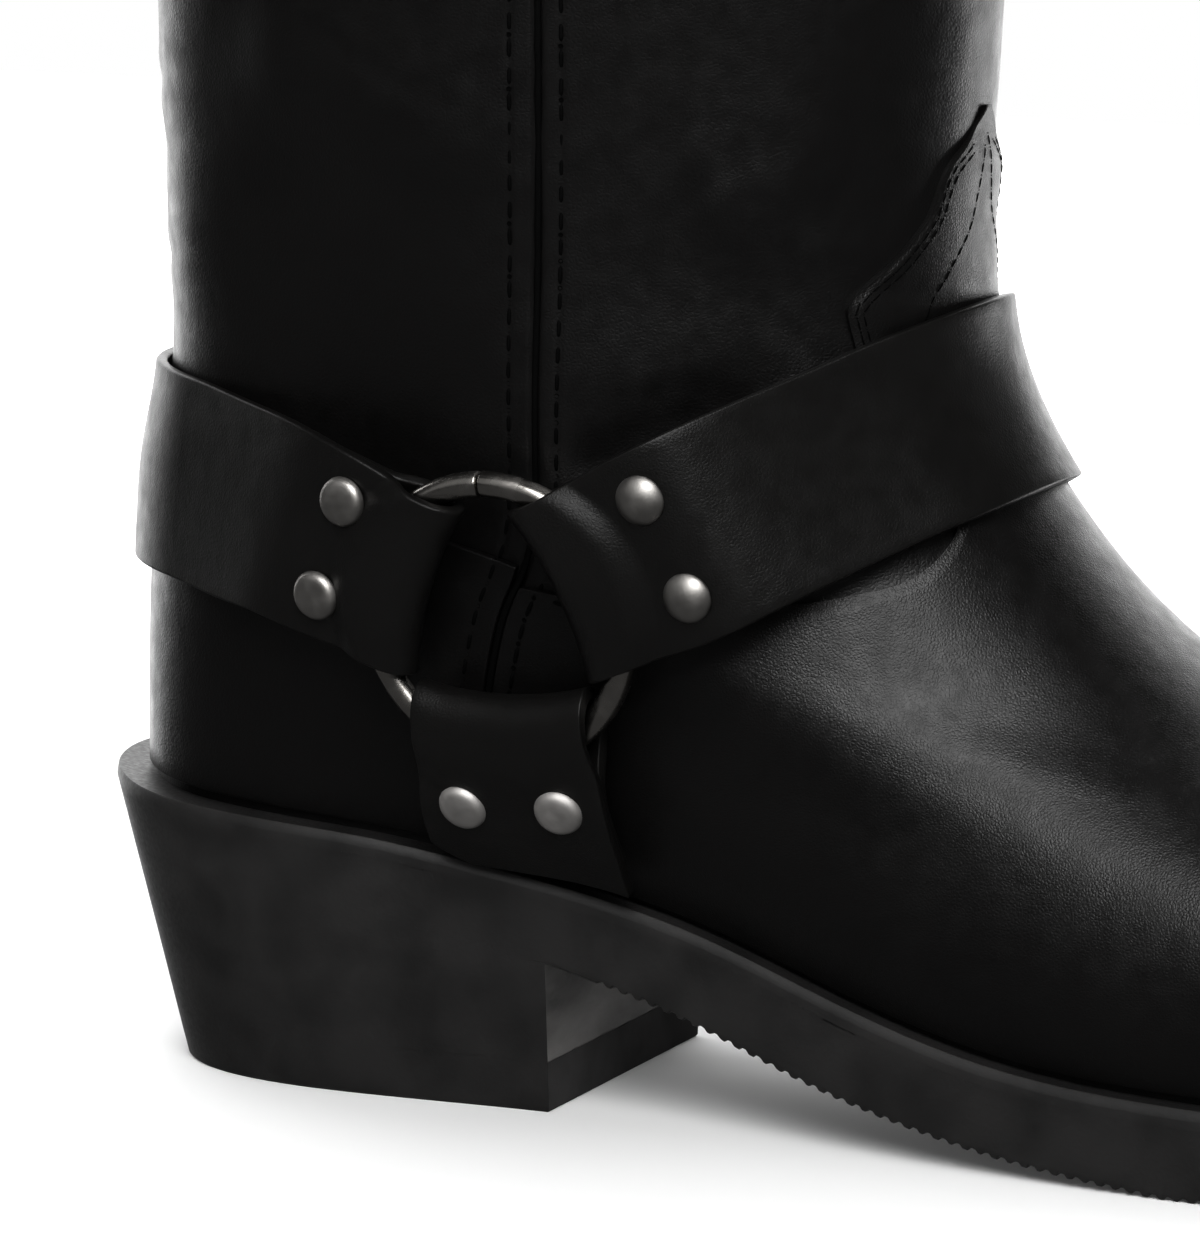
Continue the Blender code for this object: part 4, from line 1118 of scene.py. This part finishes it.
BLACK = ((0.0014, 0.0013, 0.0013), (0.0030, 0.0028, 0.0027))
LEATHER = leather("boot_leather", *BLACK, 0.36, 0.28, 0.00070, 0.00004)
GRAINED = leather("boot_vamp_leather", *BLACK, 0.37, 0.30, 0.00055, 0.00005)
STRAP = leather("boot_strap_leather", (0.0026, 0.0025, 0.0024), (0.0046, 0.0044, 0.0042), 0.35, 0.17,
                0.00060, 0.00003)
LINING = leather("boot_lining", (0.030, 0.024, 0.019), (0.045, 0.036, 0.028), 0.75, 0.4, 0.0011, 0.00006)
INSOLE = leather("boot_insole", (0.050, 0.036, 0.025), (0.075, 0.055, 0.038), 0.70, 0.4, 0.0012, 0.00006)
SOLE = rough_stack("boot_sole_rubber", (0.0075, 0.0073, 0.0072), (0.0135, 0.0130, 0.0128), 0.47, 0.33,
                   0.0008, 0.00006)
BREAST = rough_stack("boot_heel_breast", (0.020, 0.0195, 0.019), (0.085, 0.082, 0.079), 0.72, 0.05,
                     0.0010, 0.00022, (0.3, 0.3, 1))
LIFT = rough_stack("boot_heel_lift", (0.016, 0.0157, 0.0157), (0.030, 0.0294, 0.0294), 0.70, 0.0,
                   0.0010, 0.00008)
RIVET = worn_metal("boot_rivet_nickel", (0.33, 0.318, 0.302), (0.48, 0.463, 0.443), 0.42)
NICKEL = worn_metal("boot_nickel", (0.29, 0.275, 0.255), (0.47, 0.45, 0.425), 0.24)
# Nickel of the bottom rivets: rougher, and its lighter tone is a painted reflection of the pale floor
DULL_NICKEL_FLOOR_SHEEN = worn_metal("boot_dull_nickel_floor_sheen", (0.60, 0.58, 0.56), (0.78, 0.76, 0.74), 0.60)
THREAD = plain("boot_thread", (0.0012, 0.0012, 0.0012), 0.75)
# Needle holes: near-black, unreflecting discs, painted shade standing in for the depth of the holes
HOLE_SHADE = plain("boot_needle_hole_shade", (0.0008, 0.0008, 0.0008), 0.9)

make_upper()
make_vamp()
make_counter()
for boot_side in SIDES:
    make_seam_cord(boot_side)
    make_ring(boot_side)
make_straps()
make_rivets()
make_welt()
make_outsole()
make_heel()
make_stitching()
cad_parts["insole"].data.materials.clear()
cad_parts["insole"].data.materials.append(INSOLE)

# The photo's camera: its turn and rise, distance, and focal length in pixels of the 1200 by 1245 frame
AZIMUTH, ELEVATION = math.radians(23.8), math.radians(9.8)
DISTANCE = 1.3
FOCAL_PIXELS = 7930
LONG_SIDE = 1245
SENSOR = 36
TARGET = Vector((0.0838, 0, 0.0752)) + Vector(SHIFT)
TOWARD = Vector((math.sin(AZIMUTH) * math.cos(ELEVATION), -math.cos(AZIMUTH) * math.cos(ELEVATION),
                 math.sin(ELEVATION)))


def make_camera():
    camera = add_object("camera", bpy.data.cameras.new("camera"))
    camera.data.sensor_width = SENSOR
    camera.data.lens = SENSOR * FOCAL_PIXELS / LONG_SIDE
    camera.location = TARGET + TOWARD * DISTANCE
    camera.rotation_euler = TOWARD.to_track_quat("Z", "Y").to_euler()
    bpy.context.scene.camera = camera


def add_light(name, place, aim, size, energy):
    lamp = bpy.data.lights.new(name, "AREA")
    lamp.shape = "RECTANGLE"
    lamp.size, lamp.size_y = size
    lamp.energy = energy
    light = add_object(name, lamp)
    light.location = place
    light.rotation_euler = (Vector(place) - Vector(aim)).to_track_quat("Z", "Y").to_euler()
    light.visible_camera = False
    return light


def make_studio():
    middle = Vector((0.08, 0, 0.12))
    right = Vector((math.cos(AZIMUTH), math.sin(AZIMUTH), 0))
    away = -Vector((TOWARD.x, TOWARD.y, 0)).normalized()
    up = Vector((0, 0, 1))
    left_of_it = middle - right * 0.22
    add_light("back_wall", left_of_it + away * 1.3 + up * 0.3, left_of_it, (2.65, 1.6), 38)
    add_light("low_right", middle + (away * 0.53 + right * 0.85) * 1.3 - up * 0.3, middle, (0.45, 0.7), 6)
    add_light("left_fill", middle - away * 0.6 - right * 0.9 + up * 0.6, middle, (1.2, 0.8), 0.6)
    add_light("key", middle - away * 0.90 + up * 0.78 - right * 0.05, middle, (0.8, 0.8), 16)
    floor_light = add_light("floor_light", middle + up * 2.0 + away * 0.45, middle, (2.1, 2.1), 42)
    floor_light.visible_glossy = False

    floor_mesh = bpy.data.meshes.new("floor")
    floor_mesh.from_pydata([(-3, -3, 0), (3, -3, 0), (3, 1.4, 0), (-3, 1.4, 0)], [], [(0, 1, 2, 3)])
    floor = add_object("floor", floor_mesh)
    material, tree, shader = new_material("pale_floor", 0.9)
    place = coordinates(tree)
    tint(tree, shader, noise(tree, place, 0.6, 2), (0.88, 0.88, 0.88), (0.90, 0.90, 0.90))
    # The floor glows a little round the boot and fully far from it, so that its edge melts into the backdrop
    far = node(tree, "ShaderNodeVectorMath", place, {"operation": "LENGTH"}).outputs["Value"]
    shader.inputs["Emission Color"].default_value = (1, 1, 1, 1)
    tree.links.new(ramp(tree, far, 0.25, 0.75, 0.03, 1.0), shader.inputs["Emission Strength"])
    floor_mesh.materials.append(material)
    floor.visible_glossy = False
    floor.visible_shadow = False

    world = bpy.data.worlds.new("studio")
    bpy.context.scene.world = world
    world.use_nodes = True
    tree = world.node_tree
    seen = node(tree, "ShaderNodeLightPath").outputs["Is Camera Ray"]
    direction = node(tree, "ShaderNodeTexCoord").outputs["Generated"]
    height = node(tree, "ShaderNodeSeparateXYZ", direction).outputs["Z"]
    strength = ramp(tree, seen, 0.0, 1.0, ramp(tree, height, -0.10, 0.02, 0.068, 0.04), 1.0)
    background = tree.nodes["Background"]
    background.inputs["Color"].default_value = (1, 1, 1, 1)
    tree.links.new(strength, background.inputs["Strength"])
    bpy.context.scene.view_settings.view_transform = "Standard"


make_camera()
make_studio()

bpy.context.view_layer.update()
